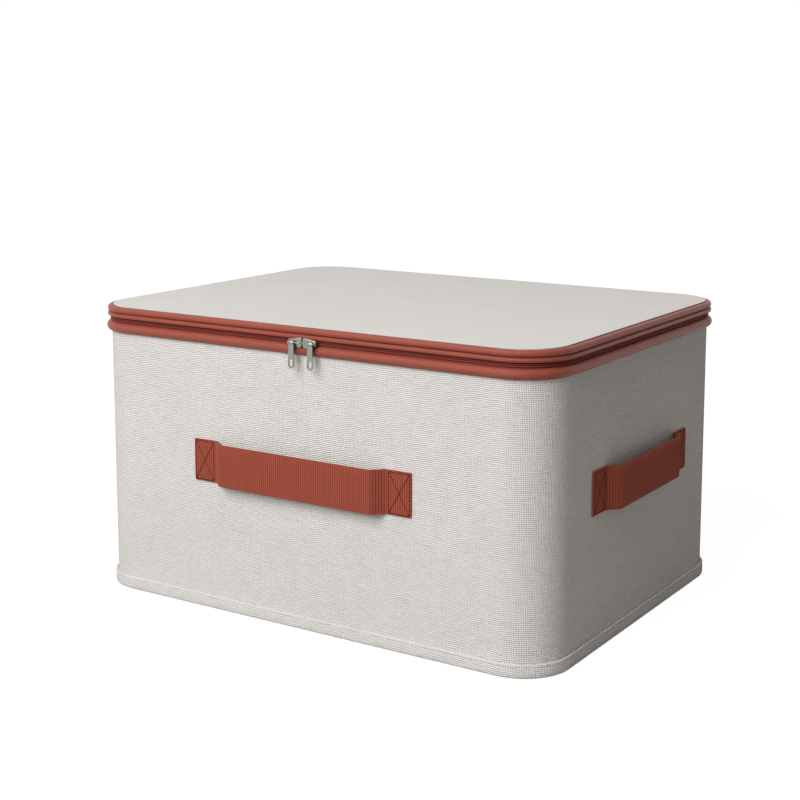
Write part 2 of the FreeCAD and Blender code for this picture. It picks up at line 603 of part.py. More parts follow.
for wall, turn, wall_face, length in (
    ("front", 0, HALF_Y, "Sizes.front_handle_length"),
    ("right", 90, HALF_X, "Sizes.side_handle_length"),
    ("left", 270, HALF_X, "Sizes.side_handle_length"),
):
    end_x = f"({length} / 2)"
    patch_x = f"({end_x} - Sizes.patch_length)"
    bend_x = f"({patch_x} - Sizes.layer_gap)"
    grip_x = f"({bend_x} - Sizes.leg_run)"
    on_wall = f"{wall_face} + Sizes.layer_gap"
    strap_plate(f"{wall}_handle_end_a", turn, f"-{end_x}", f"-{patch_x}", on_wall)
    strap_plate(f"{wall}_handle_end_b", turn, patch_x, end_x, on_wall)
    strap_leg(f"{wall}_handle_bend_a", turn, -1, wall_face, bend_x, grip_x)
    strap_leg(f"{wall}_handle_bend_b", turn, 1, wall_face, bend_x, grip_x)
    grip_half = f"({grip_x} - Sizes.layer_gap)"
    strap_plate(f"{wall}_handle_grip", turn, f"-{grip_half}", grip_half, f"{on_wall} + {LEG_RISE}")

# Zip sliders and pulls: a face plate with a flange in the groove, and a tab that hangs on a bar.
FACE_Y = f"({HALF_Y} + {BINDING_PROJECTION} + Sizes.slider_clearance)"
FACE_MID = f"({FACE_Y} + Sizes.slider_thickness / 2)"
FACE_FRONT = f"({FACE_Y} + Sizes.slider_thickness)"
BAIL_Y = f"({FACE_FRONT} + Sizes.eye_clearance + Sizes.eye_radius)"
FLANGE_Z = f"({BINDING_TOP} + Sizes.flange_clearance)"


def slider(label, side):
    """A slider body; side is the way it faces outward from the meeting point."""
    body = new_body(label)

    def along(distance):
        return f"(Sizes.zip_meeting_x + {side} * (Sizes.slider_nose_gap + {distance}))"

    face = new_sketch(body, f"{label}_face", "XZ_Plane", FACE_Y)
    high = "Sizes.slider_height / 2"
    end = "Sizes.slider_end_height / 2"
    stations = [
        ("0", end),
        ("Sizes.slider_shoulder", high),
        ("Sizes.slider_length - Sizes.slider_shoulder", high),
        ("Sizes.slider_length", end),
    ]
    upper = [(along(x), f"{ZIP_Z} + {z}") for x, z in stations]
    lower = [(along(x), f"{ZIP_Z} - {z}") for x, z in reversed(stations)]
    add_polygon(face, upper + lower)
    pad(body, face, "Sizes.slider_thickness")
    flange = new_sketch(body, f"{label}_flange", "XY_Plane", FLANGE_Z)
    start, stop = along("Sizes.slider_shoulder"), along("Sizes.slider_length - Sizes.slider_shoulder")
    front = f"-{FACE_MID}"
    back = f"-{HALF_Y} - {COIL_OUT} - Sizes.flange_clearance"
    add_rectangle(flange, start, stop, front, back)
    pad(body, flange, "Sizes.flange_thickness")
    for name, distance in (
        ("nose", "Sizes.bail_inset"),
        ("tail", "Sizes.slider_length - Sizes.bail_inset - Sizes.bail_post"),
    ):
        post = new_sketch(body, f"{label}_{name}_post", "XZ_Plane", FACE_MID)
        near, far = along(distance), along(f"{distance} + Sizes.bail_post")
        add_rectangle(post, near, far, f"{ZIP_Z} - Sizes.bail_radius", f"{ZIP_Z} + Sizes.bail_radius")
        pad(body, post, f"{BAIL_Y} + Sizes.bail_radius - {FACE_MID}")
    bar_start = along("Sizes.bail_inset + Sizes.bail_post / 2")
    bar = new_sketch(body, f"{label}_bar", "YZ_Plane", bar_start)
    add_circle(bar, f"-{BAIL_Y}", ZIP_Z, "Sizes.bail_radius")
    bar_length = "Sizes.slider_length - 2 * Sizes.bail_inset - Sizes.bail_post"
    pad(body, bar, bar_length, reverse=side < 0)


def pull(label, side):
    """A pull tab that hangs from the slider's bar by a round eye."""
    body = new_body(label)
    middle = f"(Sizes.zip_meeting_x + {side} * (Sizes.slider_nose_gap + Sizes.pull_outward))"
    eye = new_sketch(body, f"{label}_eye", "YZ_Plane", middle)
    add_circle(eye, f"-{BAIL_Y}", ZIP_Z, "Sizes.eye_radius")
    pad(body, eye, "Sizes.pull_width", both_ways=True)
    tab = new_sketch(body, f"{label}_tab", "XZ_Plane", BAIL_Y)
    ring_z = f"({ZIP_Z} + Sizes.eye_radius - Sizes.pull_length + Sizes.pull_ring_radius)"
    hole_top = f"({ring_z} + Sizes.pull_hole_length)"
    half = "Sizes.pull_width / 2"
    outline = [
        (f"{middle} - {half}", ZIP_Z),
        (f"{middle} + {half}", ZIP_Z),
        (f"{middle} + {half}", f"{hole_top} + Sizes.pull_ring_radius"),
        (f"{middle} + Sizes.pull_ring_radius", hole_top),
        (f"{middle} + Sizes.pull_ring_radius", ring_z),
        (f"{middle} - Sizes.pull_ring_radius", ring_z),
        (f"{middle} - Sizes.pull_ring_radius", hole_top),
        (f"{middle} - {half}", f"{hole_top} + Sizes.pull_ring_radius"),
    ]
    add_polygon(tab, outline)
    pad(body, tab, "Sizes.pull_thickness", both_ways=True)
    end = new_sketch(body, f"{label}_round_end", "XZ_Plane", BAIL_Y)
    add_circle(end, middle, ring_z, "Sizes.pull_ring_radius")
    pad(body, end, "Sizes.pull_thickness", both_ways=True)
    hole = new_sketch(body, f"{label}_hole", "XZ_Plane", BAIL_Y)
    upper = add_arc(hole, middle, hole_top, "Sizes.pull_hole_radius", 0, 180)
    lower = add_arc(hole, middle, ring_z, "Sizes.pull_hole_radius", 180, 360)
    x = number(middle)
    radius = number("Sizes.pull_hole_radius")
    left = add_line(hole, (x - radius, number(hole_top)), (x - radius, number(ring_z)))
    right = add_line(hole, (x + radius, number(ring_z)), (x + radius, number(hole_top)))
    for first, second in ((upper, left), (left, lower), (lower, right), (right, upper)):
        hole.addConstraint(Sketcher.Constraint("Tangent", first, 2, second, 1))
    cut_through(body, hole)
    bore = new_sketch(body, f"{label}_bore", "YZ_Plane", middle)
    add_circle(bore, f"-{BAIL_Y}", ZIP_Z, "Sizes.bail_radius + Sizes.eye_clearance")
    cut_through(body, bore)


for name, side in (("left", -1), ("right", 1)):
    slider(f"{name}_slider", side)
    pull(f"{name}_pull", side)

doc.recompute()

for item in doc.Objects:
    if "Invalid" in item.State or "Error" in item.State:
        raise RuntimeError(f"{item.Label} could not be built: {item.State}")

os.makedirs("parts", exist_ok=True)
for item in parts:
    shape = item.Shape
    if shape.isNull() or not shape.isValid():
        raise RuntimeError(f"{item.Label} has no valid shape")
    if len(shape.Solids) != 1:
        raise RuntimeError(f"{item.Label} is {len(shape.Solids)} solids, not one")
    shape.exportStep(f"parts/{item.Label}.step")
    print(item.Label, round(shape.Volume, 1))
print(len(parts), "pieces")
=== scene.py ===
import math
from collections import namedtuple

import bmesh
import bpy
from bmesh.types import BMEdge, BMFace, BMVert
from mathutils import Matrix, Vector


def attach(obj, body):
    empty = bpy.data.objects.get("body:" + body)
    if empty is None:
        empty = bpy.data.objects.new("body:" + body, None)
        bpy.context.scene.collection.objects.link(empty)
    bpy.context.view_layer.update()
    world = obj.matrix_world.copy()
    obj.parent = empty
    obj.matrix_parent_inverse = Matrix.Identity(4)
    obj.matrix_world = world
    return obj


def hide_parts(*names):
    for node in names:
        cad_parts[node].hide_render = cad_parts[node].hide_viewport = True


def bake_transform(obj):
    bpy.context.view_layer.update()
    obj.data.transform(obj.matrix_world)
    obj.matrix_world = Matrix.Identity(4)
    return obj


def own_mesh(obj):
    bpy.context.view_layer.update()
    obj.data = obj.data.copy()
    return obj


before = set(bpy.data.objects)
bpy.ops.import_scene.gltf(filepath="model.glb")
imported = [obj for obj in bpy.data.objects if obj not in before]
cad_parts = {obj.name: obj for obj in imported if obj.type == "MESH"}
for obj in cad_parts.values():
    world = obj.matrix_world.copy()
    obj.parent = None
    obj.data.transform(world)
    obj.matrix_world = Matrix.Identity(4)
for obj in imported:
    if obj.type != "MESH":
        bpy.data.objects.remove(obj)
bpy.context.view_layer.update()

MM = 0.001

# The plan outline of the wall cloth, in millimetres, and the heights that the pieces share.
HALF_X = 250.0
HALF_Y = 190.0
CORNER = 44.0
STRAIGHT_X = HALF_X - CORNER
STRAIGHT_Y = HALF_Y - CORNER
BOTTOM_FOLD = 10.5
KNEE = 117.5
TOP_FOLD = 224.5
HALF_WALL = KNEE - BOTTOM_FOLD
ZIP_LINE = 268.4
LINEN_THICK = 1.2
LINING_THICK = 0.7
RIB = 2.35

# Steps round a corner, and how near points lie that are joined when the halves are mirrored.
CORNER_STEPS = 20
MIRROR_REACH = 0.02 * MM
DOUBLES_REACH = 0.005 * MM

# A point inside the box, in metres: faces turn away from it and lamps look at it.
BOX_MIDDLE = Vector((0, 0, 0.14))

# Camera: at the photograph's viewing angle, with part of its upright correction as lens shift.
CAMERA_PLACE = Vector((805.0, -1267.7, 500.1)) * MM
CAMERA_DIP = 8.41
CAMERA_TURN = 32.86


def add_object(name, data):
    made = bpy.data.objects.new(name, data)
    bpy.context.scene.collection.objects.link(made)
    return made


lens = bpy.data.cameras.new("camera")
lens.lens = 68.47
lens.sensor_width = 36.0
lens.shift_y = -0.12
lens.clip_end = 50.0
camera = add_object("camera", lens)
camera.location = CAMERA_PLACE
camera.rotation_euler = (math.radians(90 - CAMERA_DIP), 0, math.radians(CAMERA_TURN))
bpy.context.scene.camera = camera
bpy.context.scene.view_settings.view_transform = "Standard"


# Node helpers.


def feed(tree, socket, value):
    """Links a socket, or sets a plain value."""
    if isinstance(value, bpy.types.NodeSocket):
        tree.links.new(value, socket)
    else:
        socket.default_value = value


def calc(tree, operation, first, second=None, third=None):
    step = tree.nodes.new("ShaderNodeMath")
    step.operation = operation
    for socket, value in zip(step.inputs, (first, second, third)):
        if value is not None:
            feed(tree, socket, value)
    return step.outputs[0]


def spread(tree, value, low, high, to_low=0.0, to_high=1.0):
    """Maps low to high on to another range, which it stays within."""
    step = tree.nodes.new("ShaderNodeMapRange")
    feed(tree, step.inputs["Value"], value)
    ends = (("From Min", low), ("From Max", high), ("To Min", to_low), ("To Max", to_high))
    for name, amount in ends:
        feed(tree, step.inputs[name], amount)
    return step.outputs["Result"]


def noise(tree, place, scale, detail=2.0):
    step = tree.nodes.new("ShaderNodeTexNoise")
    feed(tree, step.inputs["Vector"], place)
    step.inputs["Scale"].default_value = scale
    step.inputs["Detail"].default_value = detail
    return step.outputs["Fac"]


def split_up(tree, place):
    step = tree.nodes.new("ShaderNodeSeparateXYZ")
    feed(tree, step.inputs[0], place)
    return step.outputs


def combine(tree, x, y, z=0.0):
    step = tree.nodes.new("ShaderNodeCombineXYZ")
    for socket, value in zip(step.inputs, (x, y, z)):
        feed(tree, socket, value)
    return step.outputs[0]


def blend_colour(tree, share, first, second, mode="MIX"):
    step = tree.nodes.new("ShaderNodeMix")
    step.data_type = "RGBA"
    step.blend_type = mode
    for index, value in ((0, share), (6, first), (7, second)):
        feed(tree, step.inputs[index], value)
    return step.outputs[2]


def shade(tree, colour, level):
    """A colour made lighter or darker by a level that varies over the surface."""
    grey = combine(tree, level, level, level)
    return blend_colour(tree, 1.0, colour, grey, "MULTIPLY")


def srgb(red, green, blue):
    """A screen colour of 0 to 255 as the linear colour that a shader takes."""

    def linear(value):
        value /= 255
        return value / 12.92 if value <= 0.04045 else ((value + 0.055) / 1.055) ** 2.4

    return (linear(red), linear(green), linear(blue), 1.0)


def new_group(name, inputs, outputs):
    tree = bpy.data.node_groups.new(name, "ShaderNodeTree")
    for side, sockets in (("INPUT", inputs), ("OUTPUT", outputs)):
        for label, kind in sockets:
            tree.interface.new_socket(label, in_out=side, socket_type=f"NodeSocket{kind}")
    return tree, tree.nodes.new("NodeGroupInput").outputs, tree.nodes.new("NodeGroupOutput").inputs


def use_group(tree, group, **values):
    """Places a group in a material; underscores in the names stand for spaces."""
    step = tree.nodes.new("ShaderNodeGroup")
    step.node_tree = group
    for name, value in values.items():
        feed(tree, step.inputs[name.replace("_", " ")], value)
    return step.outputs


# The weave: how a thread's own roundness, its going over and under, and its slubs raise it.
THREAD_ROUND = 0.5
OVER_UNDER = 0.25
WEAVE_RISE = 1.33
SLUB_RISE = 0.45

# Scales of the noise that makes threads waver, and how far apart threads lie in the slubs' noise.
WAVER_SCALE = 70.0
WAVER_SCALE_UP = 55.0
WEFT_APART = 3.7
WARP_APART = 4.3


def make_woven_threads():
    """A plain weave: warp threads run up the cloth and weft threads run across it."""
    tree, given, put = new_group(
        "Woven threads",
        [
            ("Place", "Vector"), ("Across", "Float"), ("Up", "Float"), ("Waver", "Float"),
            ("Slub length", "Float"),
        ],
        [("Height", "Float"), ("Gap", "Float"), ("Slub", "Float")],
    )

    def half_waves(value):
        return calc(tree, "SINE", calc(tree, "MULTIPLY", value, math.pi))

    along, upright, _ = split_up(tree, given["Place"])
    drift = noise(tree, given["Place"], WAVER_SCALE)
    drift_up = noise(tree, combine(tree, upright, along, 3.0), WAVER_SCALE_UP)
    across = calc(tree, "DIVIDE", along, given["Across"])
    upward = calc(tree, "DIVIDE", upright, given["Up"])
    across = calc(tree, "MULTIPLY_ADD", drift, given["Waver"], across)
    upward = calc(tree, "MULTIPLY_ADD", drift_up, given["Waver"], upward)
    warp_number = calc(tree, "FLOOR", across)
    weft_number = calc(tree, "FLOOR", upward)
    warp_round = half_waves(calc(tree, "FRACT", across))
    weft_round = half_waves(calc(tree, "FRACT", upward))
    weft_wave = half_waves(calc(tree, "ADD", across, weft_number))
    warp_wave = half_waves(calc(tree, "ADD", upward, warp_number))
    weft_swell = calc(tree, "MULTIPLY", weft_round, THREAD_ROUND)
    warp_swell = calc(tree, "MULTIPLY", warp_round, THREAD_ROUND)
    weft = calc(tree, "MULTIPLY_ADD", weft_wave, OVER_UNDER, weft_swell)
    warp = calc(tree, "MULTIPLY_ADD", warp_wave, -OVER_UNDER, warp_swell)
    top = calc(tree, "MAXIMUM", weft, warp)
    # The gap mask finds the holes between threads; make_cloth paints shade into them.
    gap = calc(tree, "MAXIMUM", weft_round, warp_round)
    feed(tree, put["Gap"], spread(tree, gap, 0.75, 0.25))

    # Slubs: each thread has its own line through the noise, which thickens and thins it.
    run = calc(tree, "DIVIDE", along, given["Slub length"])
    weft_line = calc(tree, "MULTIPLY", weft_number, WEFT_APART)
    weft_slub = noise(tree, combine(tree, run, weft_line), 1.0)
    rise = calc(tree, "DIVIDE", upright, given["Slub length"])
    warp_line = calc(tree, "MULTIPLY", warp_number, WARP_APART)
    warp_slub = noise(tree, combine(tree, warp_line, rise, 9.0), 1.0)
    pick = tree.nodes.new("ShaderNodeMix")
    feed(tree, pick.inputs[0], calc(tree, "GREATER_THAN", weft, warp))
    feed(tree, pick.inputs[2], spread(tree, warp_slub, 0.25, 0.75, 0.4, 0.6))
    feed(tree, pick.inputs[3], weft_slub)
    slub = pick.outputs[0]
    feed(tree, put["Slub"], slub)
    thick = spread(tree, slub, 0.25, 0.75, -SLUB_RISE, SLUB_RISE)
    feed(tree, put["Height"], calc(tree, "MULTIPLY_ADD", top, WEAVE_RISE, thick))
    return tree


woven_threads = make_woven_threads()


def start_material(name):
    made = bpy.data.materials.new(name)
    made.use_nodes = True
    tree = made.node_tree
    return made, tree, tree.nodes["Principled BSDF"]


def place_on_cloth(tree):
    """The piece's own cloth map, which follows the surface in metres."""
    return tree.nodes.new("ShaderNodeTexCoord").outputs["UV"]


def place_on_piece(tree):
    return tree.nodes.new("ShaderNodeTexCoord").outputs["Object"]


def raise_surface(tree, shader, height, depth):
    bump = tree.nodes.new("ShaderNodeBump")
    bump.inputs["Strength"].default_value = 1.0
    bump.inputs["Distance"].default_value = depth * MM
    feed(tree, bump.inputs["Height"], height)
    feed(tree, shader.inputs["Normal"], bump.outputs["Normal"])


def make_cloth(
    name, colour, across, up, waver, slub_length, slub_share, gap_shade, depth, roughness, sheen,
    rib=0.0, groove_shade=0.0, gloss=0.08,
):
    """A woven cloth, with its threads across and up apart, in millimetres.

    The shares say how much slubs lighten or darken it, and how much shade is painted into the gaps
    between threads and into the rib grooves.
    """
    made, tree, shader = start_material(name)
    place = place_on_cloth(tree)
    threads = use_group(
        tree, woven_threads, Place=place, Across=across * MM, Up=up * MM, Waver=waver,
        Slub_length=slub_length * MM,
    )
    slub = threads["Slub"]
    level = spread(tree, slub, 0.25, 0.75, 1 - slub_share, 1 + slub_share)
    cloudy = spread(tree, noise(tree, place, 14.0, 3.0), 0.3, 0.7, 0.985, 1.015)
    level = calc(tree, "MULTIPLY", level, cloudy)
    # Painted shade: the colour is darkened in the gaps between threads, where shade falls.
    shaded_gaps = spread(tree, threads["Gap"], 0.0, 1.0, 1.0, 1 - gap_shade)
    level = calc(tree, "MULTIPLY", level, shaded_gaps)
    # Painted shade: the colour is darkened in the rib grooves, where the strap's ribs also make real
    # relief.
    if rib:
        turns = calc(tree, "MULTIPLY", split_up(tree, place)[0], math.tau / (rib * MM))
        wave = calc(tree, "COSINE", turns)
        shaded_grooves = spread(tree, wave, -1.0, 0.3, 1 - groove_shade, 1.0)
        level = calc(tree, "MULTIPLY", level, shaded_grooves)
    rough = spread(tree, slub, 0.2, 0.8, roughness - 0.06, roughness + 0.04)
    feed(tree, shader.inputs["Base Color"], shade(tree, colour, level))
    feed(tree, shader.inputs["Roughness"], rough)
    shader.inputs["Specular IOR Level"].default_value = gloss
    shader.inputs["Sheen Weight"].default_value = sheen
    shader.inputs["Sheen Roughness"].default_value = 0.3
    raise_surface(tree, shader, threads["Height"], depth)
    return made


linen = make_cloth(
    "linen", srgb(239, 235, 231), across=1.45, up=1.75, waver=1.2, slub_length=9,
    slub_share=0.11, gap_shade=0.5, depth=1.0, roughness=0.9, sheen=0.03,
)
lid_cloth = make_cloth(
    "lid_cloth", srgb(212, 209, 205), across=0.45, up=0.45, waver=0.5, slub_length=6,
    slub_share=0.015, gap_shade=0.08, depth=0.03, roughness=0.8, sheen=0.03,
)
lining = make_cloth(
    "lining", srgb(205, 201, 193), across=0.6, up=0.6, waver=0.5, slub_length=8,
    slub_share=0.03, gap_shade=0.15, depth=0.05, roughness=0.85, sheen=0.03,
)
trim = make_cloth(
    "trim", srgb(149, 71, 55), across=1.2, up=0.9, waver=0.3, slub_length=12,
    slub_share=0.08, gap_shade=0.5, depth=0.2, roughness=0.42, sheen=0.05, gloss=0.25,
)
webbing = make_cloth(
    "webbing", srgb(163, 81, 63), across=0.6, up=1.1, waver=0.3, slub_length=10,
    slub_share=0.07, gap_shade=0.3, depth=0.12, roughness=0.62, sheen=0.12,
    rib=RIB, groove_shade=0.5,
)
zip_tape = make_cloth(
    "zip_tape", srgb(131, 62, 54), across=0.5, up=0.5, waver=0.3, slub_length=6,
    slub_share=0.05, gap_shade=0.25, depth=0.05, roughness=0.75, sheen=0.03,
)


def make_plain(name, colour, roughness, metallic, grain, grain_share, depth, spots=0.0, gloss=0.5):
    """A smooth finish with fine grain: thread, metal, wire or board."""
    made, tree, shader = start_material(name)
    place = place_on_piece(tree)
    fine = noise(tree, place, grain, 3.0)
    broad = noise(tree, place, grain * 0.08)
    level = spread(tree, fine, 0.3, 0.7, 1 - grain_share, 1 + grain_share)
    blotches = spread(tree, broad, 0.3, 0.7, 1 - spots, 1 + spots)
    level = calc(tree, "MULTIPLY", level, blotches)
    rough = spread(tree, fine, 0.3, 0.7, roughness * 0.85, roughness * 1.15)
    feed(tree, shader.inputs["Base Color"], shade(tree, colour, level))
    feed(tree, shader.inputs["Roughness"], rough)
    shader.inputs["Metallic"].default_value = metallic
    shader.inputs["Specular IOR Level"].default_value = gloss
    raise_surface(tree, shader, fine, depth)
    return made


thread = make_plain(
    "thread", srgb(74, 20, 15), roughness=0.6, metallic=0.0, grain=2500, grain_share=0.12,
    depth=0.02, gloss=0.1,
)
zip_coil = make_plain(
    "zip_coil", srgb(128, 61, 53), roughness=0.55, metallic=0.0, grain=1500, grain_share=0.06,
    depth=0.01, gloss=0.15,
)
nickel = make_plain(
    "nickel", srgb(145, 146, 141), roughness=0.3, metallic=1.0, grain=900, grain_share=0.05,
    depth=0.012, spots=0.06,
)
wire = make_plain(
    "frame_wire", srgb(150, 150, 148), roughness=0.35, metallic=1.0, grain=700, grain_share=0.08,
    depth=0.02, spots=0.08,
)
board = make_plain(
    "board", srgb(150, 142, 130), roughness=0.85, metallic=0.0, grain=900, grain_share=0.08,
    depth=0.05, spots=0.06,
)


# Shapes. The sizes that these take are in millimetres.


def spot(bm, outward, up, along=0.0):
    """A point at the front's middle, a distance out from the wall face and above the floor."""
    return bm.verts.new(Vector((along, -HALF_Y - outward, up)) * MM)


def only(kind, parts):
    return [part for part in parts if isinstance(part, kind)]


def everything(bm):
    return list(bm.verts) + list(bm.edges) + list(bm.faces)


def join(bm, verts, closed=True):
    """Edges along a line of points, and from its end back to its start if it is closed."""
    onward = verts[1:] + verts[:1] if closed else verts[1:]
    return [bm.edges.new(pair) for pair in zip(verts, onward)]


def among(verts, edges):
    """The edges that have both their ends among the points."""
    ends = set(verts)
    return [edge for edge in edges if ends.issuperset(edge.verts)]


def shift(bm, verts, x, y, z):
    bmesh.ops.translate(bm, verts=verts, vec=Vector((x, y, z)) * MM)


def rotation(degrees, axis="Z"):
    return Matrix.Rotation(math.radians(degrees), 3, axis)


def swing(bm, verts, degrees, axis="Z"):
    """Turns points about an axis through the origin."""
    bmesh.ops.rotate(bm, verts=verts, cent=(0, 0, 0), matrix=rotation(degrees, axis))


def carry(bm, edges, x, y, steps=1):
    """Extrudes open edges along a level straight run and returns the edges at its far end."""
    for _ in range(steps):
        made = bmesh.ops.extrude_edge_only(bm, edges=edges)["geom"]
        verts = only(BMVert, made)
        bmesh.ops.translate(bm, verts=verts, vec=Vector((x, y, 0)) * MM / steps)
        edges = among(verts, only(BMEdge, made))
    return edges


def turn(bm, edges, centre, angle, steps):
    """Spins open edges round an upright line and returns the edges at the far end."""
    verts = list(dict.fromkeys(vert for edge in edges for vert in edge.verts))
    made = bmesh.ops.spin(
        bm, geom=verts + edges, cent=Vector(centre) * MM, axis=(0, 0, 1), angle=angle, steps=steps,
        use_duplicate=False,
    )
    return only(BMEdge, made["geom_last"])


def mirror_half(bm):
    """Mirrors the box's right half on to its left and joins the two."""
    bmesh.ops.mirror(bm, geom=everything(bm), axis="X", merge_dist=MIRROR_REACH)
    bmesh.ops.remove_doubles(bm, verts=bm.verts, dist=DOUBLES_REACH)


def run_round(bm, edges, back_gap=0.0, step_length=None):
    """Carries a profile from the front's middle round the right half of the box, then mirrors it."""

    def steps(length):
        return max(1, round(length / step_length)) if step_length else 1

    bends = max(CORNER_STEPS, steps(CORNER * math.pi / 2))
    edges = carry(bm, edges, STRAIGHT_X, 0, steps(STRAIGHT_X))
    edges = turn(bm, edges, (STRAIGHT_X, -STRAIGHT_Y, 0), math.pi / 2, bends)
    edges = carry(bm, edges, 0, 2 * STRAIGHT_Y, steps(2 * STRAIGHT_Y))
    edges = turn(bm, edges, (STRAIGHT_X, STRAIGHT_Y, 0), math.pi / 2, bends)
    run = STRAIGHT_X - back_gap
    edges = carry(bm, edges, -run, 0, steps(run))
    if back_gap:
        bmesh.ops.contextual_create(bm, geom=edges)
    mirror_half(bm)


def profile(bm, points):
    """Joins (outward, up) points at the front's middle, and notes the way along them in metres."""
    along = bm.verts.layers.float.new("along")
    verts = [spot(bm, outward, up) for outward, up in points]
    way = points[0][1] * MM
    for index, vert in enumerate(verts):
        if index:
            way += (vert.co - verts[index - 1].co).length
        vert[along] = way
    return join(bm, verts)


def arc_points(centre, radius, start, end, steps):
    """Points (outward, up) of an arc; 0 degrees points outward and 90 points up."""
    turns = [math.radians(start + (end - start) * index / steps) for index in range(steps + 1)]
    return [(centre[0] + radius * math.cos(a), centre[1] + radius * math.sin(a)) for a in turns]


def round_points(centre, radius, steps, start=180):
    """Points (outward, up) of a whole circle."""
    return arc_points(centre, radius, start, start + 360, steps)[:-1]


def way_round(x, y):
    """Distance along the wall from the front's middle, in metres, for a point on the right half."""
    reach_x, reach_y, radius = STRAIGHT_X * MM, STRAIGHT_Y * MM, CORNER * MM
    quarter = radius * math.pi / 2
    x = abs(x)
    if x <= reach_x:
        return x if y < 0 else 2 * (reach_x + quarter + reach_y) - x
    if y < -reach_y:
        return reach_x + radius * math.atan2(x - reach_x, -y - reach_y)
    if y > reach_y:
        return reach_x + quarter + 2 * reach_y + radius * math.atan2(y - reach_y, x - reach_x)
    return reach_x + quarter + y + reach_y


def map_wall(bm):
    """Maps cloth that stands round the box: the way round it, and the way up its profile."""
    sheet = bm.loops.layers.uv.new("cloth")
    along = bm.verts.layers.float.get("along")
    for face in bm.faces:
        side = 1 if face.calc_center_median().x >= 0 else -1
        for loop in face.loops:
            x, y, height = loop.vert.co
            loop[sheet].uv = (side * way_round(x, y), loop.vert[along] if along else height)


def map_flat(bm, place):
    """Maps flat cloth; place gives each point's spot on it, in metres."""
    sheet = bm.loops.layers.uv.new("cloth")
    for face in bm.faces:
        for loop in face.loops:
            loop[sheet].uv = place(loop.vert.co)


def cut_levels(bm, levels):
    """Cuts upright cloth at each height, so that it can bend there."""
    for level in levels:
        bmesh.ops.bisect_plane(
            bm, geom=everything(bm), plane_co=(0, 0, level * MM), plane_no=(0, 0, 1), dist=1e-6,
        )


def face_outward(bm):
    bmesh.ops.recalc_face_normals(bm, faces=bm.faces)
    lean = 0.0
    for face in bm.faces:
        lean += face.normal.dot(face.calc_center_median() - BOX_MIDDLE) * face.calc_area()
    if lean < 0:
        bmesh.ops.reverse_faces(bm, faces=bm.faces)


def finish_piece(name, bm, finish, replaced=(), body=None, sharp=40, thickness=0.0):
    """Turns a bmesh into a piece of the box; a sheet gets its thickness inward first."""
    if thickness:
        bmesh.ops.solidify(bm, geom=list(bm.faces), thickness=thickness * MM)
    mesh = bpy.data.meshes.new(name)
    for face in bm.faces:
        face.smooth = True
    bm.to_mesh(mesh)
    bm.free()
    mesh.set_sharp_from_angle(angle=math.radians(sharp))
    mesh.materials.append(finish)
    piece = add_object(name, mesh)
    if replaced:
        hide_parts(*replaced)
    if body:
        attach(piece, body)
    return piece


def ring(name, points, finish, replaced, body, back_gap=0.0, sharp=40):
    """A piece with one profile all round the box, or up to a gap at the back."""
    bm = bmesh.new()
    run_round(bm, profile(bm, points), back_gap)
    face_outward(bm)
    map_wall(bm)
    return finish_piece(name, bm, finish, replaced, body, sharp)


def mark_sheet(area=None):
    """Turns a sheet's area into square metres and does nothing more with it."""
    if area is not None:
        area *= MM * MM


def mark_strip():
    """Calls mark_sheet with no area, which records nothing."""
    mark_sheet()


def level_cloth(name, outset, level, thickness, finish, replaced, body, rings=()):
    """A level sheet cut to the box's outline, drawn in or out by its outset.

    Its rings shape its edge, from there inward: each is how far in it lies and how far it rises.
    """
    bm = bmesh.new()

    def onward(vert, x, y):
        made = bmesh.ops.extrude_vert_indiv(bm, verts=[vert])["verts"]
        shift(bm, made, x, y, 0)
        return made[0]

    def corner(vert, x, y):
        made = bmesh.ops.spin(
            bm, geom=[vert], cent=Vector((x, y, 0)) * MM, axis=(0, 0, 1), angle=math.pi / 2,
            steps=CORNER_STEPS,
        )
        return only(BMVert, made["geom_last"])[0]

    vert = onward(spot(bm, outset, level), STRAIGHT_X, 0)
    vert = corner(vert, STRAIGHT_X, -STRAIGHT_Y)
    vert = onward(vert, 0, 2 * STRAIGHT_Y)
    vert = corner(vert, STRAIGHT_X, STRAIGHT_Y)
    onward(vert, -STRAIGHT_X, 0)
    mirror_half(bm)
    bmesh.ops.contextual_create(bm, geom=list(bm.edges))
    bm.normal_update()
    bm.faces.ensure_lookup_table()
    middle = bm.faces[0]
    if middle.normal.z < 0:
        bmesh.ops.reverse_faces(bm, faces=bm.faces)
    for inset, rise in rings:
        bmesh.ops.inset_region(bm, faces=[middle], thickness=inset * MM, use_even_offset=True)
        bmesh.ops.translate(bm, verts=middle.verts, vec=(0, 0, rise * MM))
    map_flat(bm, lambda point: point.xy)
    piece = finish_piece(name, bm, finish, replaced, body, 60, thickness)
    width, length, radius = 2 * (HALF_X + outset), 2 * (HALF_Y + outset), CORNER + outset
    mark_sheet(width * length - (4 - math.pi) * radius**2)


# Base.

BOTTOM_INSET = -2.9
FLOOR_INSET = -4.4

foot_welt = ring(
    "foot_welt",
    [
        (-2.6, 0.0), (1.4, 0.0), (2.3, 0.4), (2.8, 1.4), (2.9, 4.0), (2.85, 7.5), (2.6, 9.6),
        (2.45, 10.0), *arc_points((1.5, 11.1), 1.35, -35, 120, 7), (0.35, 12.1), (0.3, 6.4),
        (-2.6, 6.3),
    ],
    linen, ["base_welt"], "base", sharp=50,
)
mark_strip()
level_cloth(
    "bottom_linen", BOTTOM_INSET, 1.0, 1.0, linen, ["bottom_cloth"], "base",
)
level_cloth(
    "floor_lining_cloth", FLOOR_INSET, 4.7, 1.0, lining, ["floor_lining"], "base",
)

# Walls: how far each is turned from the front in degrees, where its flat part ends, how far it
# stands from the middle, whether its ends are mitred, and the way round to its middle in metres.

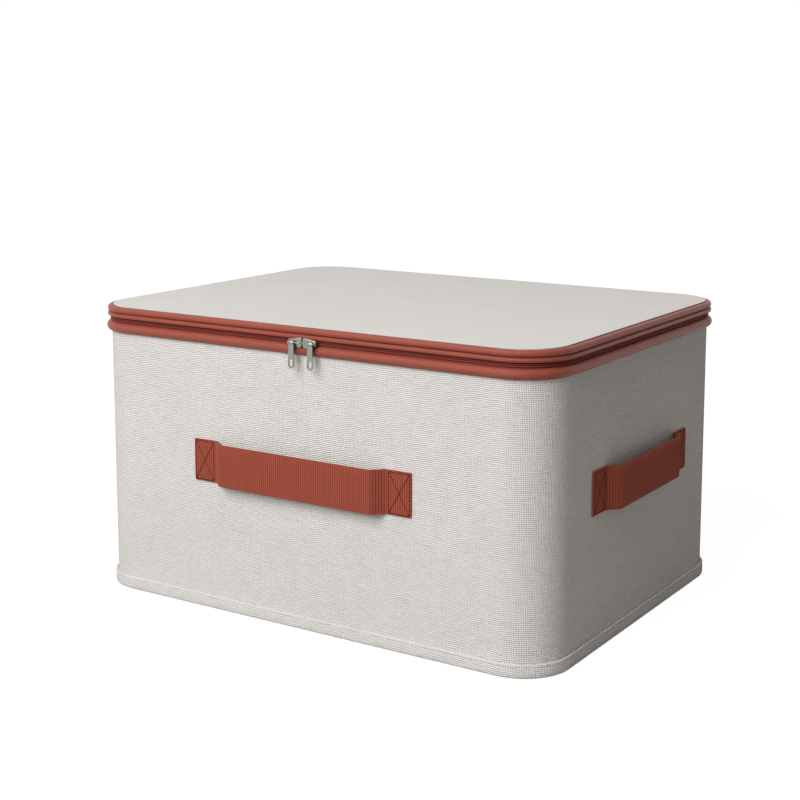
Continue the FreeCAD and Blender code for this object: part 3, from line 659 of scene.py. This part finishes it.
Wall = namedtuple("Wall", "angle edge face mitred way")
QUARTER_WAY = way_round(HALF_X * MM, 0.0)
WALLS = {
    "front": Wall(0, STRAIGHT_X, HALF_Y, True, 0.0),
    "right": Wall(90, STRAIGHT_Y, HALF_X, False, QUARTER_WAY),
    "back": Wall(180, STRAIGHT_X, HALF_Y, True, 2 * QUARTER_WAY),
    "left": Wall(270, STRAIGHT_Y, HALF_X, False, -QUARTER_WAY),
}

# A mitre starts a shoulder's height from the outer fold and reaches its tip at the knee.
SHOULDER = 20.0
LOW_SHOULDER = BOTTOM_FOLD + SHOULDER
HIGH_SHOULDER = TOP_FOLD - SHOULDER
MITRE = HALF_WALL - SHOULDER
TIP = STRAIGHT_X - MITRE


def panel(name, wall, outline, depth, thickness, finish, replaced, levels=()):
    """A flat half wall from its outline on the front, turned on to its own wall."""
    place = WALLS[wall]
    bm = bmesh.new()
    bm.faces.new([bm.verts.new(Vector((x, depth - place.face, z)) * MM) for x, z in outline])
    cut_levels(bm, levels)
    map_flat(bm, lambda point: (place.way + point.x, point.z))
    swing(bm, bm.verts, place.angle)
    face_outward(bm)
    return finish_piece(name, bm, finish, replaced, thickness=thickness)


def half_outline(wall, half, low, high):
    """The outline of a half wall, counterclockwise from outside."""
    edge = WALLS[wall].edge
    if not WALLS[wall].mitred:
        return [(-edge, low), (edge, low), (edge, high), (-edge, high)]
    if half == "lower":
        past = TIP + KNEE - high
        return [
            (-edge, low), (edge, low), (edge, LOW_SHOULDER), (past, high), (-past, high),
            (-edge, LOW_SHOULDER),
        ]
    return [
        (-TIP, low), (TIP, low), (edge, HIGH_SHOULDER), (edge, high), (-edge, high),
        (-edge, HIGH_SHOULDER),
    ]


def half_wall_linen(wall, half):
    """The outer cloth of a half wall, stretched over its board."""
    body = f"{wall}_{half}"
    low, high = (BOTTOM_FOLD, KNEE) if half == "lower" else (KNEE, TOP_FOLD)
    outline = half_outline(wall, half, low, high)
    cloth = panel(
        f"{body}_linen", wall, outline, 0.0, LINEN_THICK, linen, [f"{body}_cloth"]
    )
    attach(cloth, body)
    width = 2 * WALLS[wall].edge
    cut = MITRE**2 if WALLS[wall].mitred else 0.0
    mark_sheet(width * HALF_WALL - cut)


for wall in WALLS:
    for half in ("lower", "upper"):
        half_wall_linen(wall, half)

# Lining of the half walls.

LINING_DEPTH = 3.4
LINING_FOOT = 4.8
KNEE_LAP = 5.0
LINING_JOINT = KNEE - KNEE_LAP


def bend_lining(cloth):
    """Bakes the lining's placement into its mesh; it is carried by no body."""
    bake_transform(cloth)


def lower_lining(wall):
    body = f"{wall}_lower"
    outline = half_outline(wall, "lower", LINING_FOOT, LINING_JOINT)
    levels = [LINING_FOOT + 1.2 * index for index in range(1, 8)]
    cloth = panel(
        f"{body}_lining", wall, outline, LINING_DEPTH, LINING_THICK, lining,
        ["wall_lining"], levels,
    )
    bend_lining(cloth)
    long, tall = 2 * WALLS[wall].edge, LINING_JOINT - LINING_FOOT
    cut = (LINING_JOINT - LOW_SHOULDER) ** 2 if WALLS[wall].mitred else 0.0
    mark_sheet(long * tall - cut)


def upper_lining(wall):
    """The upper half wall's lining, which starts below the knee."""
    body = f"{wall}_upper"
    edge = WALLS[wall].edge
    outline = [(-edge, LINING_JOINT), (edge, LINING_JOINT), (edge, TOP_FOLD), (-edge, TOP_FOLD)]
    cut = 0.0
    if WALLS[wall].mitred:
        outline = [
            (-TIP - KNEE_LAP, LINING_JOINT), (TIP + KNEE_LAP, LINING_JOINT), (TIP, KNEE),
            (edge, HIGH_SHOULDER), (edge, TOP_FOLD), (-edge, TOP_FOLD), (-edge, HIGH_SHOULDER),
            (-TIP, KNEE),
        ]
        cut = MITRE**2 + (2 * MITRE - KNEE_LAP) * KNEE_LAP
    levels = [LINING_JOINT + index for index in range(1, 10) if LINING_JOINT + index != KNEE]
    cloth = panel(
        f"{body}_lining", wall, outline, LINING_DEPTH, LINING_THICK, lining,
        ["wall_lining"], levels,
    )
    bend_lining(cloth)
    long, tall = 2 * edge, TOP_FOLD - LINING_JOINT
    mark_sheet(long * tall - cut)


for wall in WALLS:
    lower_lining(wall)
    upper_lining(wall)

# Corners: which side of its wall each is at, and how far that wall is turned from the front.

CORNERS = (
    ("front_right", 1, 0),
    ("front_left", -1, 0),
    ("back_left", 1, 180),
    ("back_right", -1, 180),
)
CORNER_LEVELS = 6


def corner_piece(name, side, angle, half, depth, foot, thickness, finish, replaced):
    """Half the height of a rounded corner's cloth, carried by the base or the top frame."""
    bm = bmesh.new()
    x = side * STRAIGHT_X
    low, high, still, body, up = foot, KNEE, BOTTOM_FOLD, "base", 1
    if half == "upper":
        low, high, still, body, up = KNEE, TOP_FOLD, TOP_FOLD, "top_frame", -1
    levels = [low + (high - low) * index / CORNER_LEVELS for index in range(CORNER_LEVELS + 1)]
    verts = [bm.verts.new(Vector((x, depth - HALF_Y, z)) * MM) for z in levels]
    edges = join(bm, verts, closed=False)
    turn(bm, edges, (x, -STRAIGHT_Y, 0), side * math.pi / 2, CORNER_STEPS)
    swing(bm, bm.verts, angle)
    face_outward(bm)
    map_wall(bm)
    cloth = finish_piece(name, bm, finish, replaced, body, thickness=thickness)
    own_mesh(cloth)
    mark_sheet()


def gusset(name, side, wall, half, depth, thickness, finish):
    """Cloth between a mitred half wall and its corner, carried by the half wall."""
    shoulder, up = (LOW_SHOULDER, 1) if half == "lower" else (HIGH_SHOULDER, -1)
    outline = [(side * STRAIGHT_X, shoulder), (side * STRAIGHT_X, KNEE), (side * TIP, KNEE)]
    cloth = panel(name, wall, outline, depth, thickness, finish, [])
    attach(cloth, f"{wall}_{half}")
    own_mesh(cloth)
    mark_sheet(0.5 * MITRE**2)


for place, side, angle in CORNERS:
    wall = place.split("_")[0]
    for half in ("lower", "upper"):
        corner, mitre = f"{place}_{half}_corner", f"{place}_{half}_gusset"
        corner_piece(
            f"{corner}_linen", side, angle, half, 0.0, BOTTOM_FOLD, LINEN_THICK,
            linen, [f"{place}_corner_cloth"],
        )
        corner_piece(
            f"{corner}_lining", side, angle, half, LINING_DEPTH, LINING_FOOT, LINING_THICK,
            lining, ["wall_lining"],
        )
        gusset(mitre, side, wall, half, 0.0, LINEN_THICK, linen)
        gusset(f"{mitre}_lining", side, wall, half, LINING_DEPTH, LINING_THICK, lining)

# Rim. The zip and its tapes stop short of the back's middle, where the hinge cloth is.

RIM_BOARD_FOOT = 229.6
RIM_LINEN_TOP = 258.1
BINDING_RADIUS = 4.9
ZIP_END = 191.0
TAPE_FOOT = 258.2
BODY_TAPE_TOP = 268.25
LID_TAPE_FOOT = 268.55
TAPE_TOP = 274.8

rim_linen = ring(
    "rim_linen",
    [
        (0.0, TOP_FOLD), (0.0, 240.0), (0.0, RIM_LINEN_TOP), (-1.2, RIM_LINEN_TOP),
        (-1.2, RIM_BOARD_FOOT), (-0.9, RIM_BOARD_FOOT), (-0.1, TOP_FOLD),
    ],
    linen, ["rim_cloth"], "top_frame",
)
mark_strip()
rim_lining = ring(
    "rim_lining",
    [
        (-4.1, RIM_BOARD_FOOT), (-4.1, 265.3), (-3.8, 266.0), (-2.6, 266.3), (-1.0, 266.1),
        (-1.0, 265.95), (-3.4, 265.9), (-3.4, RIM_BOARD_FOOT),
    ],
    lining, ["wall_lining"], "top_frame",
)
fold_lining = ring(
    "rim_fold_lining",
    [
        (-4.1, TOP_FOLD), (-4.15, 226.0), (-4.2, 227.2), (-4.1, RIM_BOARD_FOOT),
        (-3.4, RIM_BOARD_FOOT), (-3.45, 227.2), (-3.4, TOP_FOLD),
    ],
    lining, ["wall_lining"], "top_frame",
)
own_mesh(fold_lining)
mark_strip()
rim_binding = ring(
    "rim_binding_trim", arc_points((0.1, 261.0), BINDING_RADIUS, -90, 90, 14),
    trim, ["rim_binding"], "top_frame", sharp=50,
)
mark_strip()
body_tape = ring(
    "body_tape",
    [(0.0, TAPE_FOOT), (0.0, BODY_TAPE_TOP), (-0.9, BODY_TAPE_TOP), (-0.9, TAPE_FOOT)],
    zip_tape, ["body_zip_tape"], "top_frame", back_gap=ZIP_END,
)
mark_strip(
)
lid_tape = ring(
    "lid_tape", [(0.0, LID_TAPE_FOOT), (0.0, TAPE_TOP), (-0.9, TAPE_TOP), (-0.9, LID_TAPE_FOOT)],
    zip_tape, ["lid_zip_tape"], "lid", back_gap=ZIP_END,
)
mark_strip()

# The zip's coil: its turns' spacing, and how thin it is between two turns as a share of its height.

COIL_OUT = 0.9
COIL_RADIUS = 0.7
COIL_PITCH = 1.68
COIL_WAIST = 0.55


def coil(name, middle, replaced, body):
    """Half of the zip's coil: a bead run whose turns stand out one by one."""
    bm = bmesh.new()
    points = round_points((COIL_OUT, middle), COIL_RADIUS, 8)
    run_round(bm, profile(bm, points), ZIP_END, 3 * COIL_PITCH)
    lengthwise = [edge for edge in bm.edges if edge.calc_length() > 2 * MM]
    bmesh.ops.subdivide_edges(bm, edges=lengthwise, cuts=11, use_grid_fill=False)
    for vert in bm.verts:
        x, y, z = vert.co
        swell = 0.5 + 0.5 * math.cos(math.tau * way_round(x, y) / (COIL_PITCH * MM))
        height = COIL_WAIST + (1 - COIL_WAIST) * swell
        vert.co.z = middle * MM + (z - middle * MM) * height
    face_outward(bm)
    map_wall(bm)
    finish_piece(name, bm, zip_coil, replaced, body, 60)


coil("body_coil", 267.55, ["body_zip_coil"], "top_frame")
coil("lid_coil", 269.25, ["lid_zip_coil"], "lid")

# Hinge.

HINGE_HALF = 190.7


def make_hinge():
    """Cloth across the back, between the rim and the lid."""
    bm = bmesh.new()
    corners = (
        (HINGE_HALF, TAPE_FOOT), (-HINGE_HALF, TAPE_FOOT), (-HINGE_HALF, TAPE_TOP),
        (HINGE_HALF, TAPE_TOP),
    )
    bm.faces.new([bm.verts.new(Vector((x, HALF_Y, z)) * MM) for x, z in corners])
    cut_levels(bm, [264 + 0.7 * index for index in range(14)])
    face_outward(bm)
    map_flat(bm, lambda point: (point.x, point.z))
    hinge = finish_piece("back_hinge", bm, trim, ["back_hinge_cloth"], thickness=0.9)
    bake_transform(hinge)
    mark_sheet()


make_hinge()

# Lid.

LID_TOP_INSET = -1.5
LID_UNDER_INSET = -1.6

lid_band = ring(
    "lid_band_trim",
    [
        (0.1, 270.9), (3.0, 270.9), (3.8, 271.4), (4.05, 272.3), (4.0, 273.5), (3.6, 274.4),
        (2.8, 274.9), (0.1, 274.9),
    ],
    trim, ["lid_band"], "lid", sharp=50,
)
mark_strip()
ring(
    "lid_piping_trim", round_points((0.7, 278.1), 3.2, 24),
    trim, ["lid_piping"], "lid", sharp=60,
)
level_cloth(
    "lid_top", LID_TOP_INSET, 280.6, 0.8, lid_cloth, ["lid_top_cloth"], "lid",
    rings=((0.3, 0.6), (0.7, 0.4), (1.4, 0.25), (4.0, 0.12), (8.0, 0.0), (8.0, 0.0)),
)
level_cloth(
    "lid_under", LID_UNDER_INSET, 275.6, 0.7, lining, ["lid_lining"], "lid",
    rings=((0.8, 1.2), (1.2, 0.6), (4.0, 0.0), (4.0, 0.0)),
)

# Handles: webbing whose grip stands out from the wall by one bend at each end.

STRAP_MIDDLE = 144.0
STRAP_WIDE = 40.0
STRAP_THICK = 1.8
STRAP_GAP = 0.1
RIB_RISE = 0.24
SELVEDGE = 1.5
SELVEDGE_DROP = 0.35
BEND_RISE = 10.0
BEND_RUN = 14.0
PATCH = 24.0
STITCH_OUT = 2.0
STITCH_FROM_END = 1.3
STITCH_FROM_SIDE = 1.5
HANDLES = (("front", 242.0), ("right", 204.0), ("left", 204.0))


def eased(share):
    """A smooth rise from 0 to 1, level at both ends."""
    return share * share * (3 - 2 * share)


def bend_length(steps=200):
    """Length of webbing that one bend takes up."""
    rises = [eased(index / steps) * BEND_RISE for index in range(steps + 1)]
    return sum(math.hypot(BEND_RUN / steps, high - low) for low, high in zip(rises, rises[1:]))


BEND_LENGTH = bend_length()


def strap_line(way, grip_half):
    """Where the strap's middle runs: (along, outward) for a length of webbing from the middle."""
    side = 1 if way >= 0 else -1
    near = STRAP_GAP + STRAP_THICK / 2
    past = abs(way) - grip_half
    if past <= 0:
        return way, near + BEND_RISE
    if past <= BEND_LENGTH:
        share = past / BEND_LENGTH
        return side * (grip_half + BEND_RUN * share), near + BEND_RISE * (1 - eased(share))
    return side * (grip_half + BEND_RUN + past - BEND_LENGTH), near


def strap_part(name, wall, low, high, grip_half, replaced):
    """One length of the webbing, with its ribs, between two distances along it."""
    bm = bmesh.new()
    steps = max(8, round((high - low) / RIB * 6))
    bmesh.ops.create_grid(bm, x_segments=steps, y_segments=10, size=0.5)

    def way_at(point):
        return low + (point.x + 0.5) * (high - low)

    map_flat(bm, lambda point: (way_at(point) * MM, (point.y + 0.5) * STRAP_WIDE * MM))
    for vert in bm.verts:
        way = way_at(vert.co)
        along, outward = strap_line(way, grip_half)
        rib = RIB_RISE * math.cos(math.tau * way / RIB)
        edge = min(1.0, (0.5 - abs(vert.co.y)) * STRAP_WIDE / SELVEDGE)
        outward += STRAP_THICK / 2 + rib * edge - SELVEDGE_DROP * (1 - edge) ** 2
        height = STRAP_MIDDLE + vert.co.y * STRAP_WIDE
        vert.co = Vector((along, -WALLS[wall].face - outward, height)) * MM
    swing(bm, bm.verts, WALLS[wall].angle)
    face_outward(bm)
    return finish_piece(name, bm, webbing, replaced, sharp=50, thickness=STRAP_THICK)


def stitch_row(bm, start, end, spacing, length):
    """A row of stitches, each a small bead of thread, from one (along, up) point to another."""
    run = Vector(end) - Vector(start)
    count = max(1, round(run.length / spacing))
    slope = math.degrees(math.atan2(run.y, run.x))
    for index in range(count):
        middle = Vector(start) + run * ((index + 0.5) / count)
        made = bmesh.ops.create_uvsphere(bm, u_segments=6, v_segments=4, radius=0.5)["verts"]
        swing(bm, made, 90, "Y")
        bmesh.ops.scale(bm, verts=made, vec=Vector((length, 1.1, 0.7)) * MM)
        swing(bm, made, slope)
        shift(bm, made, middle.x, middle.y, 0)


def stitches(name, wall, low, high):
    """The box and cross that hold a sewn end to the wall."""
    bm = bmesh.new()
    left, right = low + STITCH_FROM_END, high - STITCH_FROM_END
    bottom, top = -STRAP_WIDE / 2 + STITCH_FROM_SIDE, STRAP_WIDE / 2 - STITCH_FROM_SIDE
    box = [(left, bottom), (right, bottom), (right, top), (left, top)]
    for index, start in enumerate(box):
        stitch_row(bm, start, box[(index + 1) % 4], 3.0, 2.4)
    stitch_row(bm, box[0], box[2], 2.7, 2.7)
    stitch_row(bm, box[1], box[3], 3.0, 2.3)
    swing(bm, bm.verts, 90, "X")
    shift(bm, bm.verts, 0, -WALLS[wall].face - STITCH_OUT, STRAP_MIDDLE)
    swing(bm, bm.verts, WALLS[wall].angle)
    face_outward(bm)
    return finish_piece(name, bm, thread, sharp=80)


def make_handle(wall, length):
    """One strap: the grip, and at each of its ends a bend, a sewn patch and its stitches."""
    upper, grip, handle = f"{wall}_upper", f"{wall}_grip", f"{wall}_handle"
    grip_half = length / 2 - PATCH - BEND_RUN
    bend_end = grip_half + BEND_LENGTH
    foot = grip_half + BEND_RUN

    def part(kind, start, end, replaced):
        low, high = sorted((start, end))
        return strap_part(f"{handle}_{kind}", wall, low, high, grip_half, [f"{handle}_{replaced}"])

    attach(part("hold", -grip_half, grip_half, "grip"), grip)
    for letter, side in (("a", -1), ("b", 1)):
        start, bent, end = side * grip_half, side * bend_end, side * (bend_end + PATCH)
        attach(part(f"sewn_{letter}", bent, end, f"end_{letter}"), upper)
        bend = part(f"curve_{letter}", start, bent, f"bend_{letter}")
        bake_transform(bend)
        low, high = sorted((side * foot, side * (foot + PATCH)))
        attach(stitches(f"{handle}_stitches_{letter}", wall, low, high), upper)


for wall, length in HANDLES:
    make_handle(wall, length)

# Zip sliders and their pulls, shaped where they meet on the front. Lengths along run from a nose.

MEETING = 9.5
NOSE_GAP = 0.3
PLATE_BACK = 5.3
PLATE_FRONT = 6.9
FLANGE_BACK = 1.85
FLANGE = ((3.4, 266.05), (11.8, 266.05), (11.8, 266.65), (3.4, 266.65))
SUNK = 0.4
BAR_NEAR = 1.2
BAR_FAR = 14.0
BAR_OUT = 9.0
BAR_RADIUS = 0.7
BAR_BEND = 1.1
PULL_FROM_NOSE = 10.1
PULL_THICK = 1.2
PULL_FOOT = 248.1
HOLE_TOP = 251.5
HOLE_RADIUS = 1.7
EYE_RADIUS = 1.8
BORE_RADIUS = 1.0
EYE_HALF = 3.0

# The slider plate's outline: a lobe above and below its nose, and a narrow tail.
PLATE_OUTLINE = (
    (0.1, 1.6, 0.7), (0.5, 4.0, 0.9), (2.6, 4.85, 1.2), (5.6, 4.2, 0.9), (9.6, 3.4, 1.2),
    (14.9, 2.6, 1.6), (14.9, -2.6, 1.6), (9.0, -2.9, 1.0), (6.2, -4.3, 1.2), (3.2, -4.85, 1.4),
    (0.8, -4.2, 1.0), (0.1, -1.6, 0.7),
)


def rounded(bm, edges, amount):
    bmesh.ops.bevel(
        bm, geom=edges, offset=amount * MM, offset_type="OFFSET", affect="EDGES", segments=2,
        profile=0.5, material=-1, clamp_overlap=True,
    )


def creases(bm, angle):
    """Edges whose two faces meet at more than an angle."""
    paired = [edge for edge in bm.edges if len(edge.link_faces) == 2]
    return [edge for edge in paired if edge.calc_face_angle() > angle]


def thicken(bm, faces, x, y):
    """Gives faces a thickness and returns what is made, at the far side."""
    made = bmesh.ops.extrude_face_region(bm, geom=faces)["geom"]
    shift(bm, only(BMVert, made), x, y, 0)
    return made


def slab(bm, points, back, front, soft):
    """A flat plate from its (along, up) outline, between two distances out, with a soft front rim."""
    face = bm.faces.new([spot(bm, back, up, along) for along, up in points])
    made = thicken(bm, [face], 0, back - front)
    rim = among(only(BMVert, made), only(BMEdge, made))
    rounded(bm, rim, soft)


def round_outline(points, steps=5):
    """Rounds each (x, y, radius) corner of an outline with a short arc."""
    line = []
    for index, (x, y, radius) in enumerate(points):
        here = Vector((x, y))
        before = (Vector(points[index - 1][:2]) - here).normalized()
        after = (Vector(points[(index + 1) % len(points)][:2]) - here).normalized()
        for step in range(steps + 1):
            share = step / steps
            line.append(here + before * radius * (1 - share) ** 2 + after * radius * share * share)
    return [(point.x, point.y) for point in line]


def make_slider(name, side):
    """A slider: its plate, the flange behind it, and the bar that the pull hangs on."""
    bm = bmesh.new()
    nose = MEETING + side * NOSE_GAP
    outline = [(nose + side * along, ZIP_LINE + up) for along, up in round_outline(PLATE_OUTLINE)]
    slab(bm, outline, PLATE_BACK, PLATE_FRONT, 0.45)
    flange = [(nose + side * along, up) for along, up in FLANGE]
    slab(bm, flange, FLANGE_BACK, PLATE_BACK + SUNK, 0.1)
    near, far = nose + side * BAR_NEAR, nose + side * BAR_FAR
    end = bmesh.ops.create_circle(bm, segments=14, radius=BAR_RADIUS * MM)["verts"]
    swing(bm, end, 90, "X")
    shift(bm, end, near, -HALF_Y - PLATE_FRONT + SUNK, ZIP_LINE)
    edges = list(dict.fromkeys(edge for vert in end for edge in vert.link_edges))
    rise = BAR_OUT - BAR_BEND - PLATE_FRONT + SUNK
    out = -HALF_Y - BAR_OUT + BAR_BEND
    quarter = side * math.pi / 2
    edges = carry(bm, edges, 0, -rise)
    edges = turn(bm, edges, (near + side * BAR_BEND, out, ZIP_LINE), quarter, 6)
    edges = carry(bm, edges, far - near - side * 2 * BAR_BEND, 0)
    edges = turn(bm, edges, (far - side * BAR_BEND, out, ZIP_LINE), quarter, 6)
    carry(bm, edges, 0, rise)
    bmesh.ops.recalc_face_normals(bm, faces=bm.faces)
    finish_piece(f"{name}_metal", bm, nickel, [name], name, sharp=35)


def make_pull(name, side):
    """A tab with an oval hole, curled at its top round the slider's bar."""
    bm = bmesh.new()
    middle = MEETING + side * (NOSE_GAP + PULL_FROM_NOSE)

    # The tab, from its outline and its hole.
    right = [(3.4, HOLE_TOP), (3.25, HOLE_TOP + 1.6), (3.0, 254.9), (2.85, 261.0), (3.0, 267.2)]
    left = [(-along, up) for along, up in reversed(right)]
    outer = arc_points((0, PULL_FOOT), 3.4, 180, 360, 16) + right + left
    hole = arc_points((0, PULL_FOOT), HOLE_RADIUS, 180, 360, 12)
    hole += arc_points((0, HOLE_TOP), HOLE_RADIUS, 0, 180, 12)
    edges = []
    for line in (outer, hole):
        edges += join(bm, [spot(bm, BAR_OUT - PULL_THICK / 2, up, middle + x) for x, up in line])
    made = bmesh.ops.triangle_fill(bm, edges=edges, use_beauty=True)["geom"]
    thicken(bm, only(BMFace, made), 0, -PULL_THICK)
    rims = []
    for edge in creases(bm, 1.0):
        first, second = edge.verts
        if abs(first.co.y - second.co.y) < 0.1 * MM:
            rims.append(edge)
    rounded(bm, rims, 0.28)

    # The curled eye.
    edges = []
    for radius in (EYE_RADIUS, BORE_RADIUS):
        line = round_points((BAR_OUT, ZIP_LINE), radius, 28, start=0)
        edges += join(bm, [spot(bm, outward, up, middle - EYE_HALF) for outward, up in line])
    cheek = only(BMFace, bmesh.ops.bridge_loops(bm, edges=edges)["faces"])
    thicken(bm, cheek, 2 * EYE_HALF, 0)

    def on_cheek(vert):
        return abs(abs(vert.co.x / MM - middle) - EYE_HALF) < 0.01

    sharp = [edge for edge in creases(bm, 1.2) if edge.calc_length() < 0.6 * MM]
    rounded(bm, [edge for edge in sharp if all(on_cheek(vert) for vert in edge.verts)], 0.2)
    bmesh.ops.recalc_face_normals(bm, faces=bm.faces)
    finish_piece(f"{name}_metal", bm, nickel, [name], name, sharp=35)


for name, side in (("left", -1), ("right", 1)):
    make_slider(f"{name}_slider", side)
    make_pull(f"{name}_pull", side)

# Plain finish of the boards and wires that the frame already shapes.

for node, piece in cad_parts.items():
    if piece.hide_render:
        continue
    piece.data.materials.clear()
    piece.data.materials.append(board if node.endswith("board") else wire)

# Room and light. The camera and the metal see a white room; lamps and a dimmer world light the box.

WHITE = (1.0, 1.0, 1.0, 1.0)
WARM_WHITE = (1.0, 0.972, 0.925, 1.0)
FLOOR_SHARE = 0.75
FLOOR_NEAR = 1.27
FLOOR_FAR = 1.34
WORLD_LEVEL = 0.25


def seen_directly(tree):
    """1 for rays from the camera, off a mirror or through glass, which see the white room."""
    path = tree.nodes.new("ShaderNodeLightPath").outputs
    either = calc(tree, "MAXIMUM", path["Is Camera Ray"], path["Is Glossy Ray"])
    return calc(tree, "MAXIMUM", either, path["Is Transmission Ray"])


def make_floor():
    """A floor that keeps the box's shadow and fades to white away from it."""
    bm = bmesh.new()
    bmesh.ops.create_grid(bm, x_segments=1, y_segments=1, size=6.0)
    mesh = bpy.data.meshes.new("floor")
    bm.to_mesh(mesh)
    bm.free()
    finish, tree, shader = start_material("floor")
    shader.inputs["Base Color"].default_value = srgb(170, 170, 168)
    shader.inputs["Roughness"].default_value = 0.9
    shader.inputs["Specular IOR Level"].default_value = 0.0
    reach = tree.nodes.new("ShaderNodeVectorMath")
    reach.operation = "LENGTH"
    feed(tree, reach.inputs[0], place_on_piece(tree))
    glow = tree.nodes.new("ShaderNodeEmission")
    strength = spread(tree, reach.outputs["Value"], 0.6, 2.5, FLOOR_NEAR, FLOOR_FAR)
    feed(tree, glow.inputs["Strength"], strength)
    mixer = tree.nodes.new("ShaderNodeMixShader")
    feed(tree, mixer.inputs[0], calc(tree, "MULTIPLY", seen_directly(tree), FLOOR_SHARE))
    feed(tree, mixer.inputs[1], shader.outputs[0])
    feed(tree, mixer.inputs[2], glow.outputs[0])
    feed(tree, tree.nodes["Material Output"].inputs["Surface"], mixer.outputs[0])
    mesh.materials.append(finish)
    add_object("floor", mesh)


def make_studio():
    world = bpy.data.worlds.new("studio")
    bpy.context.scene.world = world
    world.use_nodes = True
    tree = world.node_tree
    clear = seen_directly(tree)
    backdrop = tree.nodes["Background"]
    feed(tree, backdrop.inputs["Color"], blend_colour(tree, clear, WARM_WHITE, WHITE))
    feed(tree, backdrop.inputs["Strength"], spread(tree, clear, 0.0, 1.0, WORLD_LEVEL, 1.0))


def soft_lamp(name, azimuth, elevation, distance, size, power):
    """A square soft lamp that looks at the box; azimuth 0 is in front and 90 to the right."""
    lamp = bpy.data.lights.new(name, "AREA")
    lamp.size = size
    lamp.energy = power
    holder = add_object(name, lamp)
    bearing, rise = math.radians(azimuth), math.radians(elevation)
    level = math.cos(rise)
    way = Vector((math.sin(bearing) * level, -math.cos(bearing) * level, math.sin(rise)))
    holder.location = BOX_MIDDLE + way * distance
    holder.rotation_euler = (-way).to_track_quat("-Z", "Y").to_euler()


make_floor()
make_studio()
soft_lamp("key", -8, 36, 3.2, 2.0, 104.0)
soft_lamp("overhead", 0, 88, 3.0, 1.5, 17.0)
